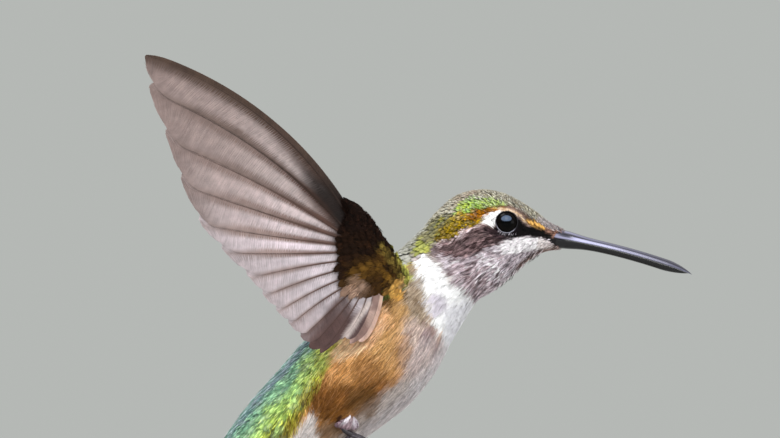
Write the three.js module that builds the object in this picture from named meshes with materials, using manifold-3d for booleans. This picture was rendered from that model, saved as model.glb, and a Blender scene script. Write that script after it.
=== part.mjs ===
// Ruby-throated hummingbird in hovering flight, life size, on a plain display stand.
// Units are millimetres, +Z is up. The bird faces +X and its right side is at -Y.
// The origin is the centre of the underside of the stand's base.
import * as THREE from 'three';
import { mergeVertices } from 'three/addons/utils/BufferGeometryUtils.js';
import Module from 'manifold-3d';

const wasm = await Module();
wasm.setup();

// ---------------------------------------------------------------- driving dimensions
const GAP = 0.3; // parting gap between neighbouring pieces
const FINE_GAP = 0.1; // gap between the two halves of the bill and its root

// Stations of the body from the root of the bill to the tips of the tail coverts. Each one is
// an upright oval in a plane that leans back or forward: its centre (x, z), its lean from the
// vertical in degrees, its reach towards the back, towards the belly and to each side, and
// full, which is 1 for an ellipse and less for a rounder shoulder.
const STATIONS = [
  { name: 'gape', x: 29.52, z: 58.75, lean: 6.3, back: 1.1, belly: 1.1, side: 1.05, full: 1.0 },
  { name: 'lores', x: 27.53, z: 59.05, lean: 6.1, back: 1.76, belly: 1.62, side: 1.95, full: 1.0 },
  { name: 'forehead', x: 25.5, z: 59.34, lean: 5.9, back: 2.94, belly: 2.94, side: 3.25, full: 1.0 },
  { name: 'brow', x: 23.37, z: 59.31, lean: 5.2, back: 4.27, belly: 5.01, side: 4.35, full: 0.97 },
  { name: 'eye', x: 21.32, z: 59.46, lean: 4.6, back: 5.04, belly: 6.96, side: 4.95, full: 0.95 },
  { name: 'crown', x: 19.2, z: 59.3, lean: 0.0, back: 5.52, belly: 7.62, side: 5.25, full: 0.95 },
  { name: 'occiput', x: 17.27, z: 58.27, lean: -9.3, back: 5.91, belly: 7.52, side: 5.35, full: 0.95 },
  { name: 'nape', x: 15.77, z: 56.58, lean: -18.3, back: 5.9, belly: 6.93, side: 5.2, full: 0.97 },
  { name: 'neck', x: 14.38, z: 54.53, lean: -28.1, back: 5.81, belly: 6.3, side: 5.15, full: 0.98 },
  { name: 'shoulder', x: 12.69, z: 52.77, lean: -37.8, back: 5.83, belly: 6.32, side: 5.7, full: 0.97 },
  { name: 'mantle', x: 10.33, z: 50.17, lean: -48.9, back: 6.23, belly: 6.74, side: 6.9, full: 0.95 },
  { name: 'back', x: 7.5, z: 46.62, lean: -56.3, back: 6.85, belly: 7.42, side: 7.65, full: 0.94 },
  { name: 'loin', x: 4.07, z: 42.83, lean: -58.4, back: 7.03, belly: 7.62, side: 7.75, full: 0.94 },
  { name: 'flank', x: 0.32, z: 39.32, lean: -56.1, back: 6.45, belly: 6.99, side: 7.1, full: 0.95 },
  { name: 'thigh', x: -3.47, z: 35.78, lean: -52.9, back: 5.96, belly: 6.46, side: 6.15, full: 0.96 },
  { name: 'vent', x: -7.02, z: 32.54, lean: -48.4, back: 5.05, belly: 5.7, side: 5.05, full: 0.97 },
  { name: 'rump', x: -9.99, z: 29.5, lean: -43.1, back: 4.08, belly: 4.79, side: 3.95, full: 0.98 },
  { name: 'upper coverts', x: -12.64, z: 26.66, lean: -39.7, back: 3.13, belly: 3.82, side: 3.1, full: 1.0 },
  { name: 'tail root', x: -15.0, z: 24.34, lean: -37.7, back: 2.25, belly: 2.75, side: 2.6, full: 1.0 },
  { name: 'under coverts', x: -17.22, z: 22.13, lean: -44.1, back: 1.64, belly: 2.0, side: 2.6, full: 1.0 },
  { name: 'covert tips', x: -18.96, z: 20.6, lean: -52.0, back: 0.94, belly: 1.15, side: 2.75, full: 1.0 },
];
const BODY_STEPS = 2; // rings for each step from station to station
const BODY_SIDES = 24; // points round each ring
const HEAD_END = 6.5; // station numbers at which the body is parted
const NECK_END = 9.35;
const TRUNK_END = 15.6;

const EYE = { x: 22.3, y: 3.3, z: 60.85, radius: 1.72, play: 0.15 };

const BILL_LENGTH = 15.1; // from the feathers to the tip
const BILL_DEPTH = 1.38; // along most of its length
const BILL_ROOT_DEPTH = 2.1;
const BILL_WIDTH_RATIO = 0.9; // width for each unit of depth
const BILL_FALL = 0.1664; // slope at the root, and how fast it grows: a slight downward curve
const BILL_CURVE = 0.00719;
const BILL_TAPER = 3.1; // length of the pointed end

// The right wing is a thin sheet over a plane seen from the side: p runs from the shoulder
// towards the wing's tip, q from its leading to its trailing edge, and the sheet leans outwards.
const SHOULDER = { x: 9.36, y: 6.6, z: 54.56 };
const SPAN_HEADING = [-0.777, 0.63]; // p axis in x and z
const CHORD_HEADING = [-0.63, -0.777]; // q axis in x and z
const WING_LEAN = 0.55; // outward rise for each millimetre of p
const WING_BEND = 0.0025; // and how fast it grows
const WING_TWIST = 0.3; // outward rise for each millimetre of q at the shoulder
const TWIST_SPAN = 15; // p at which the twist has gone
const WING_CAMBER = 0.01;
const CAMBER_MIDDLE = 4;
const VANE_THICKNESS = 0.6;

// Flight feathers: where the shaft leaves the coverts (p, q), its visible length, its heading
// in degrees from p towards q, and the bow of its middle.
const PRIMARIES = [
  { p: 8.4, q: -1.49, length: 31.2, heading: 0.5, bow: -3.0 },
  { p: 8.6, q: -0.4, length: 27.9, heading: 4.3, bow: -1.7 },
  { p: 8.9, q: 0.35, length: 22.55, heading: 11.8, bow: -0.65 },
  { p: 8.51, q: 0.95, length: 19.2, heading: 21.1, bow: 0.0 },
  { p: 7.91, q: 1.65, length: 16.3, heading: 31.2, bow: 0.1 },
  { p: 7.31, q: 2.4, length: 13.3, heading: 39.5, bow: 0.1 },
  { p: 6.64, q: 3.17, length: 10.6, heading: 50.6, bow: -0.2 },
  { p: 5.96, q: 4.0, length: 9.3, heading: 59.3, bow: -0.2 },
  { p: 5.21, q: 4.93, length: 8.1, heading: 67.5, bow: -0.2 },
  { p: 4.35, q: 5.62, length: 7.3, heading: 75.5, bow: -0.2 },
];
const SECONDARIES = [
  { p: 3.29, q: 5.99, length: 7.1, heading: 82.6, bow: 0.0 },
  { p: 2.53, q: 5.98, length: 7.4, heading: 88.5, bow: 0.1 },
  { p: 1.82, q: 5.72, length: 7.3, heading: 94.5, bow: 0.2 },
  { p: 1.0, q: 5.22, length: 6.7, heading: 98.5, bow: 0.2 },
  { p: 0.43, q: 4.6, length: 5.5, heading: 102.0, bow: 0.3 },
  { p: -0.07, q: 3.89, length: 4.8, heading: 105.6, bow: 0.3 },
];
const LEADING_VANE = 0.65; // width in front of the outermost shaft
const TRAILING_VANE = 1.5; // width behind the innermost one
const NOTCH = 0.2; // depth of the dip between two feather tips
const ARM_EDGE = [
  // leading edge of the arm, from the shoulder to the hand's end
  [-3.2, -0.6], [0.2, -1.4], [3.6, -2.4], [6.6, -3.2], [9.2, -3.45], [10.9, -3.1],
];
const ARM_STEPS = 10;
const ARM_SIDES = 14;
const ARM_ROOT_THICKNESS = 3.4;
const ARM_TIP_THICKNESS = 0.9;

const TAIL_ROOT = { x: -11.4, z: 30.56 }; // where the tail feathers grow
const TAIL_HEADING = [-0.617, -0.787]; // along the tail, in x and z
const TAIL_UP = [-0.787, 0.617]; // out of its upper face
const TAIL_START = 5; // along the tail, where the plate begins inside the coverts
const TAIL_LENGTH = 25.2; // to the tip of the longest feather
const TAIL_FEATHERS = 10;
const TAIL_SPREAD = 34; // degrees from the outermost shaft to the other
const TAIL_ROUNDING = 1.7; // by how much the outermost feathers are shorter
const TAIL_ARCH = 0.045; // drop of the edges, for each square millimetre of width
const TAIL_NOTCH = 0.35; // dip between two tail feather tips
const TAIL_THICKNESS = 0.6;
const TAIL_LIFT = -0.3; // of the plate above the tail's axis

const THIGH = { x: 2.9, y: 5.75, z: 37.3, length: 1.75, width: 1.1, depth: 0.95, pitch: 40 };
const TARSUS_RADIUS = 0.36;
const TOE_RADIUS = 0.29;
const CLAW_RADIUS = 0.26;

const BASE_RADIUS = 26;
const BASE_THICKNESS = 5;
const BASE_CHAMFER = 0.8;
const ROD_RADIUS = 1.0;
const ROD_SEAT = 2; // height of the rod's lower end, inside the base
const ROD_TOP = 38; // its upper end, inside the trunk

// ---------------------------------------------------------------- materials
const finish = (color, roughness, metalness = 0) =>
  new THREE.MeshStandardMaterial({ color, roughness, metalness });

// ---------------------------------------------------------------- helpers
const rad = (degrees) => (degrees * Math.PI) / 180;
const mix = (a, b, t) => a + (b - a) * t;

// a closed mesh from points and triangles, turned so that its faces point out
function shell(points, faces) {
  let volume = 0;
  for (const [a, b, c] of faces) {
    const [p, q, r] = [points[a], points[b], points[c]];
    volume +=
      p[0] * (q[1] * r[2] - q[2] * r[1]) +
      p[1] * (q[2] * r[0] - q[0] * r[2]) +
      p[2] * (q[0] * r[1] - q[1] * r[0]);
  }
  const order = volume < 0 ? (f) => [f[0], f[2], f[1]] : (f) => f;
  const geometry = new THREE.BufferGeometry();
  geometry.setAttribute('position', new THREE.Float32BufferAttribute(points.flat(), 3));
  geometry.setIndex(faces.flatMap(order));
  geometry.computeVertexNormals();
  return geometry;
}

// a closed skin over a row of rings of equal size, with a fan of triangles at each end
function skinRings(rings) {
  const points = rings.flat();
  const sides = rings[0].length;
  const faces = [];
  for (let i = 0; i + 1 < rings.length; i++) {
    for (let j = 0; j < sides; j++) {
      const k = (j + 1) % sides;
      const [a, b, c, d] = [i * sides + j, i * sides + k, (i + 1) * sides + k, (i + 1) * sides + j];
      faces.push([a, b, c], [a, c, d]);
    }
  }
  for (const [ring, first, flip] of [
    [rings[0], 0, true],
    [rings.at(-1), (rings.length - 1) * sides, false],
  ]) {
    const middle = points.length;
    points.push([0, 1, 2].map((n) => ring.reduce((sum, point) => sum + point[n], 0) / sides));
    for (let j = 0; j < sides; j++) {
      const [a, b] = [first + j, first + ((j + 1) % sides)];
      faces.push(flip ? [middle, b, a] : [middle, a, b]);
    }
  }
  return shell(points, faces);
}

// a closed plate from an upper and a lower sheet of the same rows and columns
function skinPlate(upper, lower) {
  const rows = upper.length;
  const columns = upper[0].length;
  const points = [...upper.flat(), ...lower.flat()];
  const under = rows * columns;
  const faces = [];
  for (let i = 0; i + 1 < rows; i++) {
    for (let j = 0; j + 1 < columns; j++) {
      const [a, b, c, d] = [i * columns + j, i * columns + j + 1, (i + 1) * columns + j + 1, (i + 1) * columns + j];
      faces.push([a, b, c], [a, c, d]);
      faces.push([under + a, under + c, under + b], [under + a, under + d, under + c]);
    }
  }
  const rim = [];
  for (let j = 0; j < columns; j++) rim.push(j);
  for (let i = 1; i < rows; i++) rim.push(i * columns + columns - 1);
  for (let j = columns - 2; j >= 0; j--) rim.push((rows - 1) * columns + j);
  for (let i = rows - 2; i > 0; i--) rim.push(i * columns);
  rim.forEach((a, n) => {
    const b = rim[(n + 1) % rim.length];
    faces.push([a, under + b, b], [a, under + a, under + b]);
  });
  return shell(points, faces);
}

// a round limb along a path, with its own radius at each point
function limb(path, radii, sides = 6) {
  const rings = path.map((point, i) => {
    const before = path[Math.max(i - 1, 0)];
    const after = path[Math.min(i + 1, path.length - 1)];
    const along = new THREE.Vector3(...after).sub(new THREE.Vector3(...before)).normalize();
    const across = new THREE.Vector3(0, 1, 0).cross(along).normalize();
    const up = along.clone().cross(across);
    return Array.from({ length: sides }, (_, j) => {
      const turn = (j * 2 * Math.PI) / sides;
      return new THREE.Vector3(...point)
        .addScaledVector(across, radii[i] * Math.cos(turn))
        .addScaledVector(up, radii[i] * Math.sin(turn))
        .toArray();
    });
  });
  return skinRings(rings);
}

function solid(geometry) {
  const bare = geometry.clone();
  bare.deleteAttribute('normal');
  bare.deleteAttribute('uv');
  const merged = mergeVertices(bare, 1e-5);
  return new wasm.Manifold(
    new wasm.Mesh({
      numProp: 3,
      vertProperties: new Float32Array(merged.attributes.position.array),
      triVerts: new Uint32Array(merged.index.array),
    }),
  );
}

function surface(manifold) {
  const mesh = manifold.getMesh();
  const geometry = new THREE.BufferGeometry();
  geometry.setAttribute('position', new THREE.BufferAttribute(new Float32Array(mesh.vertProperties), 3));
  geometry.setIndex(new THREE.BufferAttribute(new Uint32Array(mesh.triVerts), 1));
  geometry.computeVertexNormals();
  return geometry;
}

// the largest piece of a solid that a cut has left in several
const largest = (manifold) =>
  manifold.decompose().reduce((best, piece) => (piece.volume() > best.volume() ? piece : best));

const bird = new THREE.Group();
bird.name = 'hummingbird';

function add(name, shape, material) {
  const geometry = shape instanceof THREE.BufferGeometry ? shape : surface(shape);
  const mesh = new THREE.Mesh(geometry, material);
  mesh.name = name;
  bird.add(mesh);
  return mesh;
}

// the same shape on the left side
const mirrored = (shape) => shape.mirror([0, 1, 0]);

// ---------------------------------------------------------------- body
const spline = (values, t) => {
  const last = values.length - 1;
  const i = Math.min(Math.floor(t), last - 1);
  const f = t - i;
  const at = (n) =>
    n < 0 ? 2 * values[0] - values[1] : n > last ? 2 * values[last] - values[last - 1] : values[n];
  const [a, b, c, d] = [at(i - 1), at(i), at(i + 1), at(i + 2)];
  return 0.5 * (2 * b + (c - a) * f + (2 * a - 5 * b + 4 * c - d) * f * f + (3 * b - a - 3 * c + d) * f ** 3);
};

// the middle of the back and of the belly at each station
const OUTLINE = STATIONS.map((s) => {
  const [sin, cos] = [Math.sin(rad(s.lean)), Math.cos(rad(s.lean))];
  return {
    backX: s.x + s.back * sin,
    backZ: s.z + s.back * cos,
    bellyX: s.x - s.belly * sin,
    bellyZ: s.z - s.belly * cos,
    share: s.back / (s.back + s.belly),
    side: s.side,
    full: s.full,
  };
});
const column = Object.fromEntries(Object.keys(OUTLINE[0]).map((key) => [key, OUTLINE.map((s) => s[key])]));

// a plane of the body at station number t: its centre, its axes and its reaches
function section(t) {
  const s = Object.fromEntries(Object.keys(column).map((key) => [key, spline(column[key], t)]));
  const [dx, dz] = [s.backX - s.bellyX, s.backZ - s.bellyZ];
  const depth = Math.hypot(dx, dz);
  return {
    x: s.backX - dx * s.share,
    z: s.backZ - dz * s.share,
    up: [dx / depth, dz / depth],
    back: depth * s.share,
    belly: depth * (1 - s.share),
    side: s.side,
    full: s.full,
  };
}

function bodyLoft(grow = 0) {
  const rings = [];
  const last = (STATIONS.length - 1) * BODY_STEPS;
  for (let i = 0; i <= last; i++) {
    const s = section(i / BODY_STEPS);
    const ring = [];
    for (let j = 0; j < BODY_SIDES; j++) {
      const turn = (j * 2 * Math.PI) / BODY_SIDES;
      const [c, n] = [Math.cos(turn), Math.sin(turn)];
      const out = Math.sign(c) * Math.abs(c) ** s.full * (s.side + grow);
      const rise = Math.sign(n) * Math.abs(n) ** s.full * ((n > 0 ? s.back : s.belly) + grow);
      ring.push([s.x + s.up[0] * rise, out, s.z + s.up[1] * rise]);
    }
    rings.push(ring);
  }
  return skinRings(rings);
}

// the half of space that lies towards the bill (way 1) or the tail (way -1) of a station
function beyond(t, way) {
  const s = section(t);
  const size = 160;
  const box = new THREE.BoxGeometry(size, size, size);
  box.translate((way * (size + GAP)) / 2, 0, 0);
  box.rotateY(Math.atan2(s.up[0], s.up[1]));
  box.translate(s.x, 0, s.z);
  return solid(box);
}

const body = solid(bodyLoft());
const bodyClear = solid(bodyLoft(GAP));

const eyeBall = (side, grow = 0) => {
  const ball = new THREE.SphereGeometry(EYE.radius + grow, 14, 10);
  ball.rotateX(Math.PI / 2);
  ball.translate(EYE.x, side * EYE.y, EYE.z);
  return solid(ball);
};

const rodShape = (radius, from, to) => {
  const rod = new THREE.LatheGeometry(
    [[0, from], [radius, from], [radius, to], [0, to]].map(([x, y]) => new THREE.Vector2(x, y)),
    20,
  );
  rod.rotateX(Math.PI / 2);
  return solid(rod);
};

const head = body
  .intersect(beyond(HEAD_END, 1))
  .subtract(eyeBall(-1, EYE.play))
  .subtract(eyeBall(1, EYE.play));
const neck = body.intersect(beyond(HEAD_END, -1)).intersect(beyond(NECK_END, 1));
const trunk = body
  .intersect(beyond(NECK_END, -1))
  .intersect(beyond(TRUNK_END, 1))
  .subtract(rodShape(ROD_RADIUS + GAP, 10, ROD_TOP + GAP));
const tailBase = body.intersect(beyond(TRUNK_END, -1));

add('head', largest(head), finish(0x6f5f4c, 0.85));
add('neck', largest(neck), finish(0xcfc8c0, 0.9));
add('trunk', largest(trunk), finish(0xa8743f, 0.85));
add('tail_base', largest(tailBase), finish(0x4f7a3a, 0.7));
add('eye_right', eyeBall(-1), finish(0x08070a, 0.08));
add('eye_left', eyeBall(1), finish(0x08070a, 0.08));

// ---------------------------------------------------------------- bill
function billHalf(way, length) {
  const steps = 13;
  const arc = 9;
  const rings = [];
  for (let i = 0; i <= steps; i++) {
    const s = FINE_GAP + (length - FINE_GAP) * (i / steps) ** 0.85;
    const taper = Math.max(0, (s - (length - BILL_TAPER)) / BILL_TAPER);
    const depth = mix(BILL_DEPTH, BILL_ROOT_DEPTH, Math.exp(-((s / 1.9) ** 1.5))) / 2;
    const half = depth * Math.max(0.16, (1 - taper ** 1.7) ** 0.8);
    const slope = BILL_FALL + 2 * BILL_CURVE * s;
    const norm = Math.hypot(1, slope);
    const [x, z] = [29.52 + s, 58.75 - BILL_FALL * s - BILL_CURVE * s * s];
    const ring = [];
    for (let j = 0; j <= arc; j++) {
      const turn = (Math.PI * j) / arc;
      const rise = way * (FINE_GAP / 2 + (half - FINE_GAP / 2) * Math.sin(turn));
      ring.push([x + (rise * slope) / norm, half * BILL_WIDTH_RATIO * Math.cos(turn), z + rise / norm]);
    }
    rings.push(ring);
  }
  return skinRings(rings);
}
add('bill_upper', billHalf(1, BILL_LENGTH), finish(0x3a3740, 0.35));
add('bill_lower', billHalf(-1, BILL_LENGTH - 0.5), finish(0x141318, 0.4));

// ---------------------------------------------------------------- wings
// a point of the right wing's sheet, moved out by lift
function wingPoint(p, q, lift = 0) {
  const out =
    SHOULDER.y + WING_LEAN * p + WING_BEND * p * p +
    WING_TWIST * q * Math.max(0, 1 - Math.max(p, 0) / TWIST_SPAN) +
    WING_CAMBER * (q - CAMBER_MIDDLE) ** 2;
  return [
    SHOULDER.x + SPAN_HEADING[0] * p + CHORD_HEADING[0] * q,
    -(out + lift),
    SHOULDER.z + SPAN_HEADING[1] * p + CHORD_HEADING[1] * q,
  ];
}

// a point of a feather's shaft at a share f of its length, moved sideways by shift
function shaft(feather, f, shift = 0) {
  const [cos, sin] = [Math.cos(rad(feather.heading)), Math.sin(rad(feather.heading))];
  const along = feather.length * f;
  const aside = feather.bow * 4 * f * (1 - f) + shift;
  return [feather.p + along * cos - aside * sin, feather.q + along * sin + aside * cos];
}

// a fan of feathers as one plate, with a rounded tip for each feather
function fan(feathers, leading, trailing, rows) {
  const columns = [];
  if (leading) columns.push({ a: feathers[0], b: feathers[0], t: 0, shift: -leading, end: 0.985 });
  feathers.forEach((feather, i) => {
    columns.push({ a: feather, b: feather, t: 0, shift: 0, end: 1 });
    const next = feathers[i + 1];
    if (next) for (const t of [0.36, 0.64]) columns.push({ a: feather, b: next, t, shift: 0, end: 1 - NOTCH / feather.length });
  });
  if (trailing) columns.push({ a: feathers.at(-1), b: feathers.at(-1), t: 0, shift: trailing, end: 0.93 });
  const sheet = (lift) =>
    Array.from({ length: rows + 1 }, (_, i) =>
      columns.map(({ a, b, t, shift, end }) => {
        const f = 0.015 + (end - 0.015) * (i / rows);
        const narrow = shift * Math.sqrt(Math.min(1, (1.0001 - i / rows) * 5 + 0.2));
        const [u, v] = [shaft(a, f, narrow), shaft(b, f, narrow)];
        return wingPoint(mix(u[0], v[0], t), mix(u[1], v[1], t), lift);
      }),
    );
  return solid(skinPlate(sheet(VANE_THICKNESS / 2), sheet(-VANE_THICKNESS / 2)));
}

// the arm and the coverts over it: a lens-shaped loft from the leading edge to the feather roots
function arm(grow = 0) {
  const edge = new THREE.CatmullRomCurve3(ARM_EDGE.map(([p, q]) => new THREE.Vector3(p, q, 0)));
  const roots = [...SECONDARIES].reverse().concat([...PRIMARIES].reverse());
  const first = roots[0];
  const rear = new THREE.CatmullRomCurve3([
    new THREE.Vector3(first.p - 3.2, first.q - 0.6, 0),
    ...roots.map(({ p, q }) => new THREE.Vector3(p, q, 0)),
    new THREE.Vector3(10.4, -2.3, 0),
  ]);
  const rings = [];
  for (let i = 0; i <= ARM_STEPS; i++) {
    const share = i / ARM_STEPS;
    const from = edge.getPoint(share);
    const to = rear.getPoint(share ** 0.9);
    const chord = from.distanceTo(to);
    const thickness = mix(ARM_ROOT_THICKNESS, ARM_TIP_THICKNESS, share ** 0.8) + 2 * grow;
    const ring = [];
    for (let j = 0; j < ARM_SIDES; j++) {
      const turn = ((j + 0.5) * 2 * Math.PI) / ARM_SIDES;
      const along = 0.5 - 0.5 * Math.cos(turn);
      const deep = Math.sin(Math.PI * along ** 0.62) ** 0.8;
      const lift = Math.sign(Math.sin(turn)) * Math.max(0.26 + grow, (thickness / 2) * deep);
      const reach = mix(-grow / chord, 1 + (grow - GAP) / chord, along);
      ring.push(wingPoint(mix(from.x, to.x, reach), mix(from.y, to.y, reach), lift));
    }
    rings.push(ring);
  }
  return solid(skinRings(rings));
}

const wingArm = largest(arm().subtract(bodyClear));
const armClear = arm(GAP);
const primaries = largest(fan(PRIMARIES, LEADING_VANE, 0, 5).subtract(armClear));
const inner = { ...PRIMARIES.at(-1) };
const boundary = {
  p: mix(inner.p, SECONDARIES[0].p, 0.4),
  q: mix(inner.q, SECONDARIES[0].q, 0.4),
  length: mix(inner.length, SECONDARIES[0].length, 0.4) - NOTCH,
  heading: mix(inner.heading, SECONDARIES[0].heading, 0.4),
  bow: -0.1,
};
const secondaries = largest(
  fan([boundary, ...SECONDARIES], 0, TRAILING_VANE, 4).subtract(armClear).subtract(bodyClear),
);

const armFinish = finish(0x3b2a1e, 0.9);
const vaneFinish = finish(0xb4a6a8, 0.7);
const tertialFinish = finish(0x8d7d7a, 0.7);
add('wing_right_arm', wingArm, armFinish);
add('wing_right_primaries', primaries, vaneFinish);
add('wing_right_secondaries', secondaries, tertialFinish);
add('wing_left_arm', mirrored(wingArm), armFinish.clone());
add('wing_left_primaries', mirrored(primaries), vaneFinish.clone());
add('wing_left_secondaries', mirrored(secondaries), tertialFinish.clone());

// ---------------------------------------------------------------- tail
function tailPlate() {
  const rows = 4;
  const columns = [];
  const half = (TAIL_FEATHERS - 1) / 2;
  for (let i = 0; i < TAIL_FEATHERS; i++) {
    for (const step of i + 1 < TAIL_FEATHERS ? [0, 0.38, 0.62] : [0]) {
      columns.push({ place: (i + step - half) / half, dip: step ? TAIL_NOTCH : 0 });
    }
  }
  const wide = 1 + 0.85 / half;
  columns.unshift({ place: -wide, dip: 2 * TAIL_NOTCH });
  columns.push({ place: wide, dip: 2 * TAIL_NOTCH });
  const sheet = (lift) =>
    Array.from({ length: rows + 1 }, (_, r) =>
      columns.map(({ place, dip }) => {
        const turn = rad((place * TAIL_SPREAD) / 2);
        const length = TAIL_LENGTH - TAIL_ROUNDING * place * place - dip;
        const reach = mix(TAIL_START / Math.cos(turn), length, r / rows);
        const [along, out] = [reach * Math.cos(turn), reach * Math.sin(turn) + 0.9 * place];
        const rise = TAIL_LIFT + lift - TAIL_ARCH * out * out;
        return [
          TAIL_ROOT.x + TAIL_HEADING[0] * along + TAIL_UP[0] * rise,
          out,
          TAIL_ROOT.z + TAIL_HEADING[1] * along + TAIL_UP[1] * rise,
        ];
      }),
    );
  return solid(skinPlate(sheet(TAIL_THICKNESS / 2), sheet(-TAIL_THICKNESS / 2)));
}
add('tail_feathers', largest(tailPlate().subtract(bodyClear)), finish(0x2f3b30, 0.6));

// ---------------------------------------------------------------- legs
function thighShape(grow = 0) {
  const ball = new THREE.SphereGeometry(1, 14, 10);
  ball.scale(THIGH.length + grow, THIGH.depth + grow, THIGH.width + grow);
  ball.rotateY(rad(THIGH.pitch));
  ball.translate(THIGH.x, -THIGH.y, THIGH.z);
  return solid(ball);
}

// the shank and four clenched toes, each ending in a claw
function footShape() {
  const ankle = [1.9, -6.35, 36.15];
  const knuckle = [3.0, -6.2, 35.35];
  let foot = solid(limb([ankle, [2.3, -6.35, 35.75], knuckle], [TARSUS_RADIUS, TARSUS_RADIUS, TARSUS_RADIUS]));
  const toes = [
    { reach: 2.9, y: -6.55, drop: 0.1 },
    { reach: 3.3, y: -6.05, drop: -0.12 },
    { reach: 2.7, y: -5.6, drop: 0.05 },
  ];
  for (const { reach, y, drop } of toes) {
    const path = [];
    const radii = [];
    for (let i = 0; i <= 5; i++) {
      const s = i / 5;
      const curl = Math.max(0, s - 0.55) / 0.45;
      path.push([
        knuckle[0] - 0.25 + reach * s - 0.3 * curl * curl,
        mix(knuckle[1], y, Math.min(1, s * 2)),
        knuckle[2] + 0.12 - 0.42 * reach * s - drop - 0.75 * curl * curl,
      ]);
      radii.push(s > 0.7 ? mix(TOE_RADIUS, CLAW_RADIUS, (s - 0.7) / 0.3) : TOE_RADIUS);
    }
    foot = foot.add(solid(limb(path, radii)));
  }
  const hind = [knuckle, [2.75, -6.0, 34.75], [3.15, -5.95, 34.2], [3.8, -5.95, 33.95]];
  return foot.add(solid(limb(hind, [TOE_RADIUS, TOE_RADIUS, TOE_RADIUS, CLAW_RADIUS])));
}
const thigh = largest(thighShape().subtract(bodyClear));
const foot = largest(footShape().subtract(bodyClear).subtract(thighShape(GAP)));
add('thigh_right', thigh, finish(0xcdbcb4, 0.9));
add('thigh_left', mirrored(thigh), finish(0xcdbcb4, 0.9));
add('foot_right', foot, finish(0x2a232c, 0.55));
add('foot_left', mirrored(foot), finish(0x2a232c, 0.55));

// ---------------------------------------------------------------- display stand
const baseOutline = [
  [0, 0], [BASE_RADIUS - 0.4, 0], [BASE_RADIUS, 0.4], [BASE_RADIUS, BASE_THICKNESS - BASE_CHAMFER],
  [BASE_RADIUS - BASE_CHAMFER, BASE_THICKNESS], [0, BASE_THICKNESS],
].map(([x, y]) => new THREE.Vector2(x, y));
const disc = new THREE.LatheGeometry(baseOutline, 44);
disc.rotateX(Math.PI / 2);
const socket = rodShape(ROD_RADIUS + GAP, ROD_SEAT - GAP, BASE_THICKNESS + 5);
add('stand_base', solid(disc).subtract(socket), finish(0x4a2f1e, 0.5));
add('stand_rod', rodShape(ROD_RADIUS, ROD_SEAT, ROD_TOP), finish(0xb8bcc2, 0.3, 1));

export default bird;
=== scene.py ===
"""Ruby-throated hummingbird on a display stand: skin, plumage, flight feathers, bill, eyes, feet and stand.

Lengths are millimetres in the row frame until a mesh is made, which turns them into metres.
Markings are written in the side view's own grid, (u, v): u = X / 0.12 + 320 and v = 438 - (Z - 35) / 0.12.
"""
import math
import bpy
import numpy as np
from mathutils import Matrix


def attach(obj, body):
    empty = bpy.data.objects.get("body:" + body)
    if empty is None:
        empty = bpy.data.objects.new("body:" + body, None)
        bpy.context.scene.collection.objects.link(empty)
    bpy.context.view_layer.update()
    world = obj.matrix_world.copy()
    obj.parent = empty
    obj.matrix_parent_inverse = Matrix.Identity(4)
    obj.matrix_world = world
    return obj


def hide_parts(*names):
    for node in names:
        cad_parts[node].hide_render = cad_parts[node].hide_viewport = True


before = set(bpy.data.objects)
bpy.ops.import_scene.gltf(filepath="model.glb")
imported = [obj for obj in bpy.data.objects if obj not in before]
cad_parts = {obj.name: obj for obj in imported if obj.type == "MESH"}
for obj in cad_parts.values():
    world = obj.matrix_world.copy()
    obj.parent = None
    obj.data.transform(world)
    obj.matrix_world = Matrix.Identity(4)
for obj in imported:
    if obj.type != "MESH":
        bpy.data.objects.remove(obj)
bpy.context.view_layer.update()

MM = 0.001
UNIT = 0.12  # millimetres for each step of the side view's grid
rng = np.random.default_rng(20240607)


def side_view(X, Z):
    return X / UNIT + 320.0, 438.0 - (Z - 35.0) / UNIT


def lin(c):
    """A colour from 0 to 255 as linear light."""
    c = np.asarray(c, float) / 255.0
    return np.where(c <= 0.04045, c / 12.92, ((c + 0.055) / 1.055) ** 2.4)


def smooth(lo, hi, x):
    t = np.clip((np.asarray(x, float) - lo) / (hi - lo), 0, 1)
    return t * t * (3 - 2 * t)


def mixc(a, b, t):
    t = np.asarray(t, float)
    return a + (b - a) * (t[..., None] if np.ndim(a) > np.ndim(t) or np.ndim(b) > np.ndim(t) else t)


def unit(v):
    return v / np.maximum(np.linalg.norm(v, axis=-1, keepdims=True), 1e-9)


# ------------------------------------------------------------------ smooth value noise, seeded
_LATTICE = np.random.default_rng(7).random(4096)


def noise3(P, scale):
    """Smooth noise from 0 to 1 at points P, with features of about scale."""
    q = np.asarray(P, float) / scale
    i = np.floor(q).astype(np.int64)
    f = q - i
    f = f * f * (3 - 2 * f)
    out = 0.0
    for dx in (0, 1):
        for dy in (0, 1):
            for dz in (0, 1):
                h = ((i[..., 0] + dx) * 73856093) ^ ((i[..., 1] + dy) * 19349663) ^ ((i[..., 2] + dz) * 83492791)
                w = (f[..., 0] if dx else 1 - f[..., 0]) * (f[..., 1] if dy else 1 - f[..., 1]) * (f[..., 2] if dz else 1 - f[..., 2])
                out = out + w * _LATTICE[h & 4095]
    return out


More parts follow.
